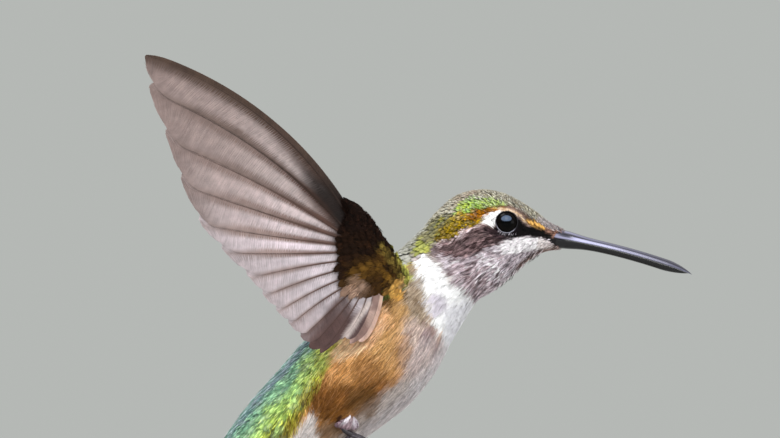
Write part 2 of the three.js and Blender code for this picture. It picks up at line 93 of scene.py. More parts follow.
# ------------------------------------------------------------------ mesh making
def make_mesh(name, verts, faces, colour=None, uv=None, normals=None, material=None, smooth_faces=True, tint=None):
    """verts in mm; faces an (m, 3) or (m, 4) array or a list of such arrays; colour and tint per vertex; uv per vertex; normals per corner."""
    groups = faces if isinstance(faces, list) else [faces]
    groups = [np.asarray(g, np.int32) for g in groups if len(g)]
    loops = np.concatenate([g.ravel() for g in groups])
    sizes = np.concatenate([np.full(len(g), g.shape[1], np.int32) for g in groups])
    starts = np.concatenate([[0], np.cumsum(sizes)[:-1]]).astype(np.int32)
    me = bpy.data.meshes.new(name)
    me.vertices.add(len(verts))
    me.vertices.foreach_set("co", (np.asarray(verts, np.float64) * MM).astype(np.float32).ravel())
    me.loops.add(len(loops))
    me.loops.foreach_set("vertex_index", loops)
    me.polygons.add(len(sizes))
    me.polygons.foreach_set("loop_start", starts)
    me.polygons.foreach_set("use_smooth", np.full(len(sizes), bool(smooth_faces)))
    me.update(calc_edges=True)
    if colour is not None:
        rgba = np.ones((len(verts), 4), np.float32)
        rgba[:, :3] = np.clip(colour, 0, 1)
        at = me.color_attributes.new("Col", "FLOAT_COLOR", "POINT")
        at.data.foreach_set("color", rgba.ravel())
        me.color_attributes.active_color = at
    if tint is not None:
        at = me.attributes.new("Tint", "FLOAT", "POINT")
        at.data.foreach_set("value", np.asarray(tint, np.float32))
    if uv is not None:
        layer = me.uv_layers.new(name="OFBake")
        layer.data.foreach_set("uv", np.asarray(uv, np.float32)[loops].ravel())
    if normals is not None:
        me.normals_split_custom_set(normals.astype(np.float32))
    if material is not None:
        me.materials.append(material)
    ob = bpy.data.objects.new(name, me)
    bpy.context.scene.collection.objects.link(ob)
    return ob


def place(ob, slot, *nodes):
    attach(ob, "root")
    if nodes:
        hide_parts(*nodes)
    return ob


def grid_faces(rows, cols, wrap=False):
    r = np.arange(rows - 1)[:, None]
    c = np.arange(cols if wrap else cols - 1)[None, :]
    d = (c + 1) % cols
    a, b, e, f = r * cols + c, r * cols + d, (r + 1) * cols + d, (r + 1) * cols + c
    return np.stack([a, b, e, f], -1).reshape(-1, 4)


class Bag:
    """Collects pieces of one mesh."""

    def __init__(self):
        self.v, self.c, self.u, self.n, self.f, self.count = [], [], [], [], [], 0

    def add(self, verts, faces, colour, uv=None, guide=None):
        verts = np.asarray(verts, float).reshape(-1, 3)
        self.v.append(verts)
        self.c.append(np.broadcast_to(np.asarray(colour, float), verts.shape) if np.ndim(colour) == 1 else np.asarray(colour, float).reshape(-1, 3))
        self.u.append(np.zeros((len(verts), 2)) if uv is None else np.asarray(uv, float).reshape(-1, 2))
        self.n.append(np.zeros_like(verts) if guide is None else np.asarray(guide, float).reshape(-1, 3))
        self.f.append(np.asarray(faces, np.int64) + self.count)
        self.count += len(verts)

    def arrays(self):
        by = {}
        for f in self.f:
            by.setdefault(f.shape[1], []).append(f)
        return np.concatenate(self.v), [np.concatenate(x) for x in by.values()], np.concatenate(self.c), np.concatenate(self.u), np.concatenate(self.n)


# ------------------------------------------------------------------ the body's form, the same as the solids'
STATIONS = np.array([
    # x, z, lean, back, belly, side, full
    (29.52, 58.75, 6.3, 1.10, 1.10, 1.05, 1.00),   # gape
    (27.53, 59.05, 6.1, 1.76, 1.62, 1.95, 1.00),   # lores
    (25.50, 59.34, 5.9, 2.94, 2.94, 3.25, 1.00),   # forehead
    (23.37, 59.31, 5.2, 4.27, 5.01, 4.35, 0.97),   # brow
    (21.32, 59.46, 4.6, 5.04, 6.96, 4.95, 0.95),   # eye
    (19.20, 59.30, 0.0, 5.52, 7.62, 5.25, 0.95),   # crown
    (17.27, 58.27, -9.3, 5.91, 7.52, 5.35, 0.95),  # occiput
    (15.77, 56.58, -18.3, 5.90, 6.93, 5.20, 0.97),  # nape
    (14.38, 54.53, -28.1, 5.81, 6.30, 5.15, 0.98),  # neck
    (12.69, 52.77, -37.8, 5.83, 6.32, 5.70, 0.97),  # shoulder
    (10.33, 50.17, -48.9, 6.23, 6.74, 6.90, 0.95),  # mantle
    (7.50, 46.62, -56.3, 6.85, 7.42, 7.65, 0.94),  # back
    (4.07, 42.83, -58.4, 7.03, 7.62, 7.75, 0.94),  # loin
    (0.32, 39.32, -56.1, 6.45, 6.99, 7.10, 0.95),  # flank
    (-3.47, 35.78, -52.9, 5.96, 6.46, 6.15, 0.96),  # thigh
    (-7.02, 32.54, -48.4, 5.05, 5.70, 5.05, 0.97),  # vent
    (-9.99, 29.50, -43.1, 4.08, 4.79, 3.95, 0.98),  # rump
    (-12.64, 26.66, -39.7, 3.13, 3.82, 3.10, 1.00),  # upper coverts
    (-15.00, 24.34, -37.7, 2.25, 2.75, 2.60, 1.00),  # tail root
    (-17.22, 22.13, -44.1, 1.64, 2.00, 2.60, 1.00),  # under coverts
    (-18.96, 20.60, -52.0, 0.94, 1.15, 2.75, 1.00),  # covert tips
])
LAST = len(STATIONS) - 1
_lean = np.radians(STATIONS[:, 2])
_up = np.stack([np.sin(_lean), np.cos(_lean)], 1)
_centre = STATIONS[:, :2]
OUTLINE = np.concatenate([
    _centre + _up * STATIONS[:, 3:4], _centre - _up * STATIONS[:, 4:5],
    STATIONS[:, 3:4] / (STATIONS[:, 3:4] + STATIONS[:, 4:5]), STATIONS[:, 5:7]], 1)


def spline(tab, t):
    t = np.clip(t, 0, LAST - 1e-9)
    i = np.floor(t).astype(int)
    f = (t - i)[..., None]
    ext = np.concatenate([[2 * tab[0] - tab[1]], tab, [2 * tab[-1] - tab[-2]]])
    a, b, c, d = ext[i], ext[i + 1], ext[i + 2], ext[i + 3]
    return 0.5 * (2 * b + (c - a) * f + (2 * a - 5 * b + 4 * c - d) * f * f + (3 * b - a - 3 * c + d) * f ** 3)


def body_point(t, turn):
    s = spline(OUTLINE, t)
    D, V, share, side, full = s[..., 0:2], s[..., 2:4], s[..., 4:5], s[..., 5], s[..., 6]
    axis = D - V
    depth = np.linalg.norm(axis, axis=-1, keepdims=True)
    up = axis / depth
    C = D - axis * share
    c, n = np.cos(turn), np.sin(turn)
    out = np.sign(c) * np.abs(c) ** full * side
    reach = np.where(n > 0, (depth * share)[..., 0], (depth * (1 - share))[..., 0])
    rise = np.sign(n) * np.abs(n) ** full * reach
    return np.stack([C[..., 0] + up[..., 0] * rise, out, C[..., 1] + up[..., 1] * rise], -1)


class Surf:
    """A surface as a fine grid over a in [0, 1] and b in [0, 1], b closing on itself if wrap. depth is how far the skin lies inside it."""

    def __init__(self, P, wrap, depth, flip=False):
        self.P, self.wrap = P, wrap
        na, nb = P.shape[:2]
        self.na, self.nb = na, nb
        da = np.gradient(P, axis=0)
        if wrap:
            db = (np.roll(P, -1, 1) - np.roll(P, 1, 1)) / 2
        else:
            db = np.gradient(P, axis=1)
        n = unit(np.cross(da, db))
        if flip:
            n = -n
        self.N, self.D = n, depth
        self.area = np.linalg.norm(np.cross(da, db), axis=-1)

    def _at(self, arr, a, b):
        x = np.clip(a, 0, 1) * (self.na - 1)
        i = np.minimum(x.astype(int), self.na - 2)
        f = (x - i)
        if self.wrap:
            y = (b % 1.0) * self.nb
            j = y.astype(int) % self.nb
            k = (j + 1) % self.nb
            g = y - np.floor(y)
        else:
            y = np.clip(b, 0, 1) * (self.nb - 1)
            j = np.minimum(y.astype(int), self.nb - 2)
            k = j + 1
            g = y - j
        if arr.ndim == 3:
            f, g = f[..., None], g[..., None]
        return (arr[i, j] * (1 - f) * (1 - g) + arr[i + 1, j] * f * (1 - g) + arr[i, k] * (1 - f) * g + arr[i + 1, k] * f * g)

    def at(self, a, b, h):
        """The point at height h over the skin, and the normal there."""
        n = unit(self._at(self.N, a, b))
        return self._at(self.P, a, b) + n * (h - self._at(self.D, a, b))[..., None], n

    def axes(self, a, b):
        """Position, normal and the two partial derivatives."""
        ea, eb = 0.6 / (self.na - 1), 0.6 / self.nb
        P = self._at(self.P, a, b)
        a0, a1 = np.clip(a - ea, 0, 1), np.clip(a + ea, 0, 1)
        Pa = (self._at(self.P, a1, b) - self._at(self.P, a0, b)) / np.maximum(a1 - a0, 1e-9)[..., None]
        if self.wrap:
            b0, b1 = b - eb, b + eb
        else:
            b0, b1 = np.clip(b - eb, 0, 1), np.clip(b + eb, 0, 1)
        Pb = (self._at(self.P, a, b1) - self._at(self.P, a, b0)) / (b1 - b0)[..., None]
        return P, unit(self._at(self.N, a, b)), Pa, Pb

    def scatter(self, count, weight=None, seed=0, keep=None):
        """count points spread evenly by area times weight, as (a, b)."""
        g = np.random.default_rng(seed)
        w = self.area.copy()
        if weight is not None:
            w = w * weight
        if self.wrap:
            w = w[:-1]
        else:
            w = w[:-1, :-1]
        block = 6  # cells in serpentine blocks of rows, so that an even draw is even both ways
        rows, cols = w.shape
        r, c = np.divmod(np.arange(rows * cols), cols)
        strip = r // block
        order = np.lexsort((r % block, np.where(strip % 2 == 0, c, cols - c), strip))
        cum = np.cumsum(w.ravel()[order])
        picks = (np.arange(count) + g.random(count)) / count * cum[-1]
        cell = order[np.minimum(np.searchsorted(cum, picks), len(cum) - 1)]
        i, j = np.divmod(cell, cols)
        a = (i + g.random(count)) / (self.na - 1)
        b = (j + g.random(count)) / (self.nb if self.wrap else self.nb - 1)
        return a, b


# depth of the coat, from the bill to the tail
COAT = np.interp(np.linspace(0, LAST, 800), [0, 0.6, 1, 2, 3, 4, 5, 7, 9, 11, 13, 15, 17, 18.5, 20],
                 [0.50, 0.22, 0.16, 0.20, 0.26, 0.30, 0.34, 0.42, 0.48, 0.52, 0.52, 0.46, 0.36, 0.28, 0.16])
_t, _b = np.meshgrid(np.linspace(0, LAST, 800), np.arange(640) / 640, indexing="ij")
BODY = Surf(body_point(_t, _b * 2 * np.pi), True, np.repeat(COAT[:, None], 640, 1), flip=True)
# the normals point out if they lead away from the axis
if (BODY.N[400, 0] * np.array([0, 1, 0])).sum() < 0:
    BODY.N = -BODY.N

EYE_X, EYE_Y, EYE_Z, EYE_R = 22.3, 3.3, 60.85, 1.72
EYE_AXIS = unit(np.array([0.05, 1.0, 0.03]))


def eye_centre(side):
    return np.array([EYE_X, side * EYE_Y, EYE_Z])


def eye_axis(side):
    return EYE_AXIS * np.array([1, side, 1])


def from_eye(P):
    """Distance from the nearer eye's axis, along the skin's plane."""
    side = np.where(P[..., 1] >= 0, 1.0, -1.0)
    C = np.stack([np.full_like(side, EYE_X), side * EYE_Y, np.full_like(side, EYE_Z)], -1)
    A = EYE_AXIS * np.stack([np.ones_like(side), side, np.ones_like(side)], -1)
    d = P - C
    along = (d * A).sum(-1)
    off = d - A * along[..., None]
    r = np.linalg.norm(off, axis=-1)
    return np.where(along > 0, r, 99.0), off, A


# ------------------------------------------------------------------ markings
def poly(u, v, pts, soft):
    """1 inside the outline and 0 outside, over a border soft wide."""
    p = np.asarray(pts, float)
    q = np.roll(p, -1, 0)
    inside = np.zeros(u.shape, bool)
    best = np.full(u.shape, 1e9)
    for (x0, y0), (x1, y1) in zip(p, q):
        dx, dy = x1 - x0, y1 - y0
        s = np.clip(((u - x0) * dx + (v - y0) * dy) / (dx * dx + dy * dy + 1e-9), 0, 1)
        best = np.minimum(best, np.hypot(u - x0 - s * dx, v - y0 - s * dy))
        if y0 != y1:
            cross = (v < y0) != (v < y1)
            inside ^= cross & (u < x0 + (v - y0) / (y1 - y0) * dx)
    d = np.where(inside, best, -best)
    return smooth(-soft / 2, soft / 2, d)


def line(u, v, pts, wide, soft):
    """1 near a line and 0 away from it."""
    p = np.asarray(pts, float)
    best = np.full(u.shape, 1e9)
    for (x0, y0), (x1, y1) in zip(p[:-1], p[1:]):
        dx, dy = x1 - x0, y1 - y0
        s = np.clip(((u - x0) * dx + (v - y0) * dy) / (dx * dx + dy * dy + 1e-9), 0, 1)
        best = np.minimum(best, np.hypot(u - x0 - s * dx, v - y0 - s * dy))
    return 1 - smooth(wide / 2 - soft / 2, wide / 2 + soft / 2, best)


BACK_EDGE = [(410, 268), (398, 268), (386, 284), (362, 312), (340, 336), (327, 356), (326, 372), (318, 386), (309, 398),
             (303, 412), (297, 426), (288, 440), (270, 470), (248, 500), (226, 528), (196, 556)]
_dorsal = [side_view(*p) for p in spline(OUTLINE[:, 0:2], np.linspace(0, LAST, 60))]
_ventral = [side_view(*p) for p in spline(OUTLINE[:, 2:4], np.linspace(0, LAST, 60))]


def line_distance(u, v, pts):
    p = np.asarray(pts, float)
    best = np.full(np.shape(u), 1e9)
    for (x0, y0), (x1, y1) in zip(p[:-1], p[1:]):
        dx, dy = x1 - x0, y1 - y0
        s = np.clip(((u - x0) * dx + (v - y0) * dy) / (dx * dx + dy * dy + 1e-9), 0, 1)
        best = np.minimum(best, np.hypot(u - x0 - s * dx, v - y0 - s * dy))
    return best


BACK = [(u, v) for u, v in BACK_EDGE] + [(120, 590), (120, 300), (330, 200), (400, 235)]
# where the feathers are small flat scales rather than loose barbs
SCALY = [(566, 233), (556, 229.5), (545, 227), (533, 220), (520, 210), (508, 205), (498, 207), (486, 212), (479, 219), (468, 229), (456, 237),
         (444, 241.5), (432, 248), (420, 254), (411, 258), (405, 268), (396, 272)] + BACK_EDGE[2:] + [(120, 590), (120, 300), (330, 170), (480, 150), (575, 190)]


def layer(col, mask, a, b, r):
    """Lays a marking whose feathers run from colour a to colour b by r."""
    c = lin(a)[None, :] + (lin(b) - lin(a))[None, :] * r[:, None]
    return col + (c - col) * mask[:, None]


def plumage(P, r, r2):
    """Colour of the feathers rooted at points P. r and r2 are each feather's own draws from 0 to 1."""
    u, v = side_view(P[:, 0], P[:, 2])
    # a little wander, so that borders between markings are ragged
    wob = noise3(P, 0.9) - 0.5
    wob2 = noise3(P + 31.0, 0.9) - 0.5
    # less of it round the eye and bill, where the markings are small and crisp
    calm = 0.22 + 0.78 * smooth(22, 48, np.hypot(u - 516, v - 226))
    u = u + (5.0 * wob + 3.0 * (r - 0.5)) * calm
    v = v + (5.0 * wob2 + 3.0 * (r2 - 0.5)) * calm
    under = line_distance(u, v, _ventral)
    broad = noise3(P + 11.0, 2.2)
    fine = noise3(P + 57.0, 0.55)
    # flank
    col = np.repeat(lin((198, 142, 80))[None, :], len(u), 0)
    col = layer(col, np.clip(0.15 + 1.2 * (fine - 0.35), 0, 0.8), (220, 174, 120), (170, 114, 58), r)
    col = layer(col, poly(u, v, [(372, 298), (408, 296), (416, 320), (410, 350), (392, 372), (372, 360), (356, 330)], 22) * 0.6, (218, 180, 126), (190, 148, 92), r)
    # painted highlight: a rosy, lighter patch on the flank under the wing's hind edge
    col = layer(col, poly(u, v, [(372, 306), (384, 304), (382, 332), (368, 348), (345, 352), (350, 342), (368, 334)], 8) * 0.75, (232, 184, 150), (214, 156, 116), r)
    # darker brown low on the flank
    col = layer(col, poly(u, v, [(312, 378), (326, 376), (346, 384), (392, 380), (386, 398), (362, 410), (345, 416), (334, 424), (336, 452), (316, 446), (322, 416), (308, 404)], 16) * 0.85, (140, 86, 32), (96, 54, 12), r)
    # painted shade: the darkest brown, over the leg
    col = layer(col, poly(u, v, [(345, 392), (372, 388), (380, 398), (360, 408), (346, 408)], 9) * 0.7, (66, 34, 8), (92, 50, 14), r)
    col = layer(col, poly(u, v, [(310, 382), (322, 380), (318, 396), (308, 410), (303, 402)], 7) * 0.75 * (0.5 + r), (96, 72, 34), (132, 96, 40), r2)
    # belly, breast and the white collar
    col = layer(col, (1 - smooth(6, 14, under)) * smooth(255, 275, v) * (u > 300), (222, 215, 219), (194, 184, 186), r)
    col = layer(col, poly(u, v, [(440, 352), (434, 358), (420, 368), (398, 384), (376, 400), (362, 410), (352, 424), (338, 436), (300, 470), (262, 500), (230, 530), (170, 560), (150, 620), (480, 520), (470, 350)], 13), (226, 219, 220), (200, 190, 186), r)
    # painted shade: the lower belly, which faces down, is darker
    col = layer(col, poly(u, v, [(412, 380), (388, 392), (366, 408), (350, 426), (338, 446), (392, 448), (420, 408)], 12) * 0.75, (216, 205, 201), (180, 166, 160), r)
    col = layer(col, poly(u, v, [(404, 318), (416, 312), (426, 318), (442, 342), (436, 362), (420, 372), (402, 384), (400, 352)], 14) * 0.9, (224, 208, 200), (176, 154, 148), np.clip(0.5 * r + 0.8 * (fine - 0.2), 0, 1))
    col = layer(col, poly(u, v, [(418, 318), (430, 322), (443, 342), (434, 360), (426, 352), (420, 336)], 8) * 0.85 * smooth(0.3, 0.6, fine), (176, 156, 160), (140, 118, 122), r)
    col = layer(col, poly(u, v, [(412, 252), (433, 251), (439, 259), (444, 269), (449, 278), (456, 285), (463, 291), (471, 295), (484, 299), (480, 330), (462, 352), (447, 346), (440, 335), (430, 318), (420, 300), (416, 280), (412, 262)], 6), (255, 255, 255), (240, 240, 244), r * 0.6)
    col = layer(col, poly(u, v, [(448, 306), (470, 300), (478, 312), (462, 340), (452, 350), (444, 338)], 12) * 0.6, (232, 231, 238), (214, 212, 222), r)
    col = layer(col, (1 - smooth(5, 15, under)) * smooth(340, 360, v) * (u > 330) * 0.8, (232, 226, 230), (204, 196, 200), r)
    # painted light: the flank under the tertials is lightened where the wing's shadow falls
    col = layer(col, poly(u, v, [(322, 352), (345, 344), (352, 362), (344, 384), (326, 384)], 14) * 0.7, (234, 176, 112), (196, 136, 72), r)
    # painted highlight along the flank under the wing's hind edge
    col = layer(col, poly(u, v, [(372, 304), (388, 306), (394, 328), (380, 338), (364, 350), (340, 356), (330, 350), (340, 336), (362, 338), (374, 324)], 6) * 0.6, (242, 198, 154), (222, 170, 118), r)
    col = layer(col, poly(u, v, [(409, 358), (420, 340), (436, 334), (434, 362), (416, 384), (407, 376)], 8) * 0.55, (228, 216, 218), (202, 188, 190), r)
    # painted shade: lilac-grey shading low on the white collar
    col = layer(col, poly(u, v, [(427, 296), (440, 293), (449, 306), (441, 317), (429, 312)], 7) * 0.8, (206, 198, 210), (194, 186, 199), r)
    col = layer(col, poly(u, v, [(394, 338), (409, 337), (413, 352), (404, 368), (390, 364)], 6) * 0.6, (206, 156, 106), (158, 116, 76), r)
    col = layer(col, poly(u, v, [(356, 362), (378, 360), (386, 374), (372, 386), (354, 380)], 9) * 0.5, (140, 92, 50), (110, 70, 36), r)
    # painted light: the flank below the tertials is lightened against the wing's shadow
    col = layer(col, poly(u, v, [(334, 331), (352, 338), (366, 346), (350, 357), (334, 360), (325, 353)], 5) * 0.85, (252, 216, 178), (238, 192, 146), r)
    # the brown runs on between the vent tuft and the leg, and over the thigh
    col = layer(col, poly(u, v, [(312, 404), (334, 400), (344, 408), (343, 424), (335, 432), (326, 426), (319, 420)], 5) * 0.9, (136, 88, 36), (94, 56, 20), r)
    col = layer(col, poly(u, v, [(316, 426), (334, 422), (342, 428), (344, 446), (314, 446)], 5) * 0.6, (172, 150, 128), (126, 102, 80), r)
    col = layer(col, line(u, v, [(373, 314), (377, 326), (367, 338), (353, 346)], 7, 6) * 0.5, (246, 208, 178), (226, 178, 144), r)
    col = layer(col, poly(u, v, [(346, 388), (372, 388), (380, 400), (374, 420), (354, 418), (346, 402)], 8) * 0.7, (136, 96, 50), (98, 68, 34), r)
    # vent tuft and the white feathers under the tail
    col = layer(col, poly(u, v, [(289, 444), (304, 418), (314, 413), (318, 428), (316, 446), (300, 470), (262, 506), (222, 540), (180, 556), (214, 526), (250, 492)], 5) * 0.95, (238, 232, 232), (214, 204, 200), r)
    # gold at the bend of the wing and the ochre below it
    col = layer(col, poly(u, v, [(386, 286), (398, 280), (410, 280), (411, 290), (404, 300), (390, 298)], 7) * 0.9, (234, 184, 92), (212, 158, 74), r)
    col = layer(col, poly(u, v, [(388, 298), (408, 296), (416, 306), (410, 322), (396, 316), (384, 306)], 8) * 0.5, (196, 158, 104), (160, 128, 84), r)
    col = layer(col, poly(u, v, [(380, 290), (389, 293), (396, 304), (390, 311), (382, 304)], 4) * 0.85, (104, 70, 34), (66, 42, 18), r)
    col = layer(col, poly(u, v, [(406, 270), (413, 264), (421, 284), (426, 301), (430, 320), (420, 326), (409, 314), (401, 300), (404, 286)], 6) * 0.95, (190, 174, 154), (104, 82, 58), r)
    # back: blue-grey painted sheen at the very top, then blue-green, green, and yellow-green towards the flank
    on_back = poly(u, v, BACK, 5)
    down = line_distance(u, v, _dorsal)
    rim = line_distance(u, v, BACK_EDGE)
    back = np.repeat(lin((116, 158, 136))[None, :], len(u), 0)
    back = layer(back, smooth(4, 12, down), (112, 160, 130), (160, 200, 158), r)
    back = layer(back, smooth(13, 24, down), (148, 184, 110), (178, 206, 122), r)
    far = smooth(398, 425, v)
    back = layer(back, (1 - smooth(7 + 8 * far, 20 + 10 * far, rim)) * smooth(6, 12, down), (190, 196, 66), (158, 160, 48), r)
    back = layer(back, smooth(0.60, 0.78, broad) * 0.55 * smooth(6, 12, down), (188, 222, 168), (156, 202, 150), r)
    back = back * (1 + 0.12 * smooth(6, 10, down) + 0.24 * smooth(400, 414, v) * smooth(13, 19, down))[:, None]
    # painted sheen: blue-grey lies along the back's outline on each side of the green middle
    side_on = smooth(0.6, 3.0, np.abs(P[:, 1]))
    back = layer(back, (1 - smooth(3, 9, down)) * (0.12 + 0.88 * side_on), (128, 150, 156), (96, 124, 128), r)
    back = layer(back, smooth(0.60, 0.80, fine) * 0.45 * smooth(3, 10, down), (66, 98, 84), (86, 118, 86), r)
    back = layer(back, (1 - smooth(5, 11, rim)) * smooth(0.35, 0.65, fine) * smooth(5, 10, down), (212, 198, 76), (132, 118, 40), r2)
    back = layer(back, poly(u, v, [(298, 362), (314, 352), (330, 348), (326, 364), (312, 380), (298, 382)], 6) * 0.8, (204, 226, 140), (164, 196, 106), r)
    back = layer(back, poly(u, v, [(264, 406), (284, 398), (302, 400), (294, 418), (278, 428), (262, 420)], 8) * 0.45, (204, 234, 124), (170, 198, 90), r)
    # olive brown along the border low on the flank
    border = line(u, v, [(322, 380), (312, 392), (305, 404), (297, 418), (288, 432), (279, 446)], 11, 8) * smooth(374, 386, v)
    back = layer(back, poly(u, v, [(269, 432), (282, 429), (288, 436), (282, 446), (266, 446)], 4) * 0.7, (100, 106, 36), (70, 72, 24), r)
    back = layer(back, border * 0.85, (140, 124, 44), (104, 88, 30), r)
    col = col + (back - col) * on_back[:, None]
    # the whole head is greyish brown under its markings
    col = layer(col, poly(u, v, [(404, 262), (412, 240), (440, 190), (480, 176), (530, 185), (590, 222), (590, 262), (540, 262), (500, 300), (476, 306), (462, 292), (446, 276), (436, 262), (424, 254)], 4), (158, 136, 134), (118, 98, 94), r)
    # hind neck
    col = layer(col, poly(u, v, [(388, 262), (400, 240), (420, 215), (432, 214), (424, 232), (414, 246), (411, 258), (404, 270), (394, 268)], 5), (186, 186, 178), (140, 140, 124), r)
    col = layer(col, line(u, v, [(399, 262), (405, 270), (411, 280)], 4.5, 3), (176, 180, 104), (140, 148, 76), r)
    # head: grey-brown crown
    crown = poly(u, v, [(412, 252), (420, 236), (430, 214), (445, 196), (480, 180), (520, 192), (560, 222), (566, 232), (545, 227), (533, 219), (520, 209), (508, 205), (480, 214), (455, 236), (432, 249), (420, 254)], 4)
    col = layer(col, crown, (206, 202, 184), (138, 131, 108), r)
    col = layer(col, crown * smooth(0.55, 0.8, fine) * 0.6, (116, 104, 92), (150, 136, 118), r2)
    col = layer(col, poly(u, v, [(452, 214), (456, 202), (466, 199), (478, 197), (492, 199), (505, 203), (503, 207), (488, 208), (474, 211), (462, 216)], 4), (152, 184, 88), (108, 152, 84), np.clip(0.5 * r + 1.2 * (fine - 0.25), 0, 1))
    col = layer(col, poly(u, v, [(480, 198), (494, 198), (507, 202), (504, 208), (484, 208)], 4) * 0.8, (196, 212, 118), (150, 170, 100), r)
    col = layer(col, poly(u, v, [(455, 208), (462, 202), (470, 204), (462, 214), (454, 216)], 3) * 0.8, (180, 196, 76), (150, 168, 66), r)
    col = layer(col, poly(u, v, [(450, 219), (468, 211), (487, 207.5), (504, 207), (508, 209), (499, 212), (489, 213.5), (482.5, 221), (466, 225), (450, 228)], 4), (172, 108, 8), (118, 78, 8), r)
    col = layer(col, poly(u, v, [(438, 226), (452, 219), (482, 219), (479, 225), (468, 229), (459, 236), (447, 240.5), (436, 242), (431, 238)], 4), (160, 130, 12), (98, 82, 12), r)
    col = layer(col, poly(u, v, [(418, 238), (430, 218), (446, 212), (452, 218), (440, 228), (432, 240), (422, 246)], 5) * 0.95, (138, 132, 84), (100, 100, 82), r)
    col = layer(col, poly(u, v, [(430, 232), (440, 216), (452, 214), (450, 224), (440, 236)], 4) * smooth(0.45, 0.7, fine), (160, 142, 54), (124, 132, 62), r)
    col = layer(col, poly(u, v, [(412, 247), (419, 239), (429, 242), (432, 248), (425, 252.5), (416, 254)], 3.5), (186, 188, 96), (146, 152, 76), r)
    col = layer(col, poly(u, v, [(448, 206), (455, 197), (468, 190), (482, 189), (470, 197), (458, 205)], 5) * 0.5, (206, 180, 160), (150, 126, 108), r)
    col = layer(col, poly(u, v, [(443, 223), (449, 214), (460, 211), (469, 214), (458, 222), (446, 229)], 4) * 0.75, (176, 150, 46), (114, 98, 34), r)
    col = layer(col, poly(u, v, [(464, 204), (472, 199), (482, 199), (483, 208), (471, 211)], 4) * 0.45, (204, 222, 92), (156, 184, 68), r)
    # base of the bill
    col = layer(col, poly(u, v, [(536, 222), (590, 224), (590, 262), (536, 258)], 3), (150, 112, 98), (112, 84, 76), r)
    # throat: pale lilac streaks over brown
    throat = poly(u, v, [(431, 246), (452, 240), (478, 226), (500, 232), (548, 238), (562, 248), (560, 256), (520, 282), (480, 312), (470, 297), (462, 291), (454, 284), (447, 275), (440, 260), (434, 252)], 5)
    col = layer(col, throat, (234, 224, 234), (112, 92, 96), smooth(0.25, 0.95, 0.8 * r + 0.2 * fine))
    col = layer(col, throat * poly(u, v, [(492, 250), (520, 250), (548, 249), (543, 258), (522, 268), (500, 272)], 6) * 0.45, (186, 172, 182), (146, 130, 138), r)
    col = layer(col, throat * poly(u, v, [(452, 262), (470, 258), (484, 270), (496, 284), (486, 304), (470, 300), (455, 284), (446, 270)], 10) * 0.7, (190, 170, 178), (102, 82, 84), r)
    # dark cheek
    col = layer(col, poly(u, v, [(436, 244), (446, 241), (458, 235), (473, 228), (483, 224.5), (495, 227), (500, 233), (507, 237.5), (505, 241.5), (494, 246), (482, 252), (466, 258), (452, 259), (440, 255), (433, 250)], 6) * 0.92, (122, 92, 92), (50, 32, 32), smooth(0.15, 0.85, r))
    col = layer(col, line(u, v, [(437, 243.6), (440, 242.5), (452, 238.8), (463, 232.4), (478, 225.6)], 4.4, 3) * 0.95, (232, 214, 218), (180, 156, 158), r)
    # white malar stripe, lilac below it
    col = layer(col, poly(u, v, [(486, 250), (500, 250), (522, 252), (520, 260), (506, 264), (490, 262), (480, 256)], 5) * 0.55, (216, 206, 214), (168, 152, 160), r)
    col = layer(col, poly(u, v, [(506, 240), (520, 237.6), (531, 236.6), (541, 239), (549, 243), (554, 246.5), (545, 249.5), (533, 250.5), (523, 252.5), (512, 254), (502, 254), (494, 252), (499, 246)], 4), (255, 252, 255), (240, 232, 238), r)
    col = layer(col, poly(u, v, [(538, 239), (551, 243), (557, 247), (546, 250), (536, 250)], 4) * 0.5, (240, 222, 214), (222, 200, 196), r)
    # chin's rosy-brown edge
    col = layer(col, line(u, v, [(560, 248.5), (548, 250), (538, 254), (528, 260), (519, 268)], 5, 4) * 0.7, (176, 140, 120), (134, 104, 92), r)
    # buff stripe over the eye, gold before it, and the feathers over the nostril
    col = layer(col, line(u, v, [(497, 205.5), (510, 207), (519, 212), (529, 218.5), (538, 221)], 3.0, 2.4) * 0.8, (124, 96, 74), (88, 66, 50), r)
    col = layer(col, line(u, v, [(499, 209.4), (509, 211.0), (517, 215.2), (524, 220.2), (532, 224.4)], 2.9, 1.6), (232, 208, 178), (186, 150, 112), r)
    col = layer(col, poly(u, v, [(524, 218.5), (534, 219.6), (544, 224.2), (546, 228.6), (540, 229.4), (531, 226)], 2.6), (200, 155, 78), (146, 108, 48), r)
    col = layer(col, poly(u, v, [(544, 228), (556, 229), (568, 233), (568, 238), (555, 238), (546, 235.5)], 3), (176, 132, 112), (128, 92, 80), r)
    col = layer(col, poly(u, v, [(538, 216), (550, 221), (568, 230), (568, 233), (556, 230), (546, 227.5), (536, 221)], 3) * 0.85, (196, 188, 192), (160, 148, 146), r)
    # bare black corner of the bill
    col = layer(col, poly(u, v, [(543, 237.6), (556, 237.2), (574, 238), (574, 250.5), (563, 249.4), (553, 245.0)], 1.6), (14, 12, 16), (22, 18, 22), r)
    # black lores and round the eye
    col = layer(col, poly(u, v, [(511, 213.6), (517, 218.8), (526, 225.2), (534, 227.2), (542, 229.8), (550, 234.2), (552, 238.6), (548, 239.2), (540, 237.6), (531, 236.4), (522, 236.4), (514, 238.2), (506, 237.2), (499, 234), (494.5, 229)], 2.2), (6, 3, 5), (18, 11, 13), r * 0.7)
    col = layer(col, poly(u, v, [(479, 225), (487, 228), (496, 228.5), (500, 233.5), (507, 237.4), (514, 238.4), (508, 241.2), (498, 239.6), (489, 234.6), (481, 229.5)], 2.4) * 0.85, (44, 28, 36), (22, 13, 18), r)
    # white triangle behind the eye
    col = layer(col, poly(u, v, [(479.5, 222), (483.5, 216.8), (488.5, 212.8), (494.5, 211), (502, 210.6), (499, 215), (496.5, 221), (495.5, 225), (490, 225.8), (484.5, 224.6)], 1.6), (255, 255, 255), (246, 244, 246), r * 0.5)
    return np.clip(col, 0.002, 1)


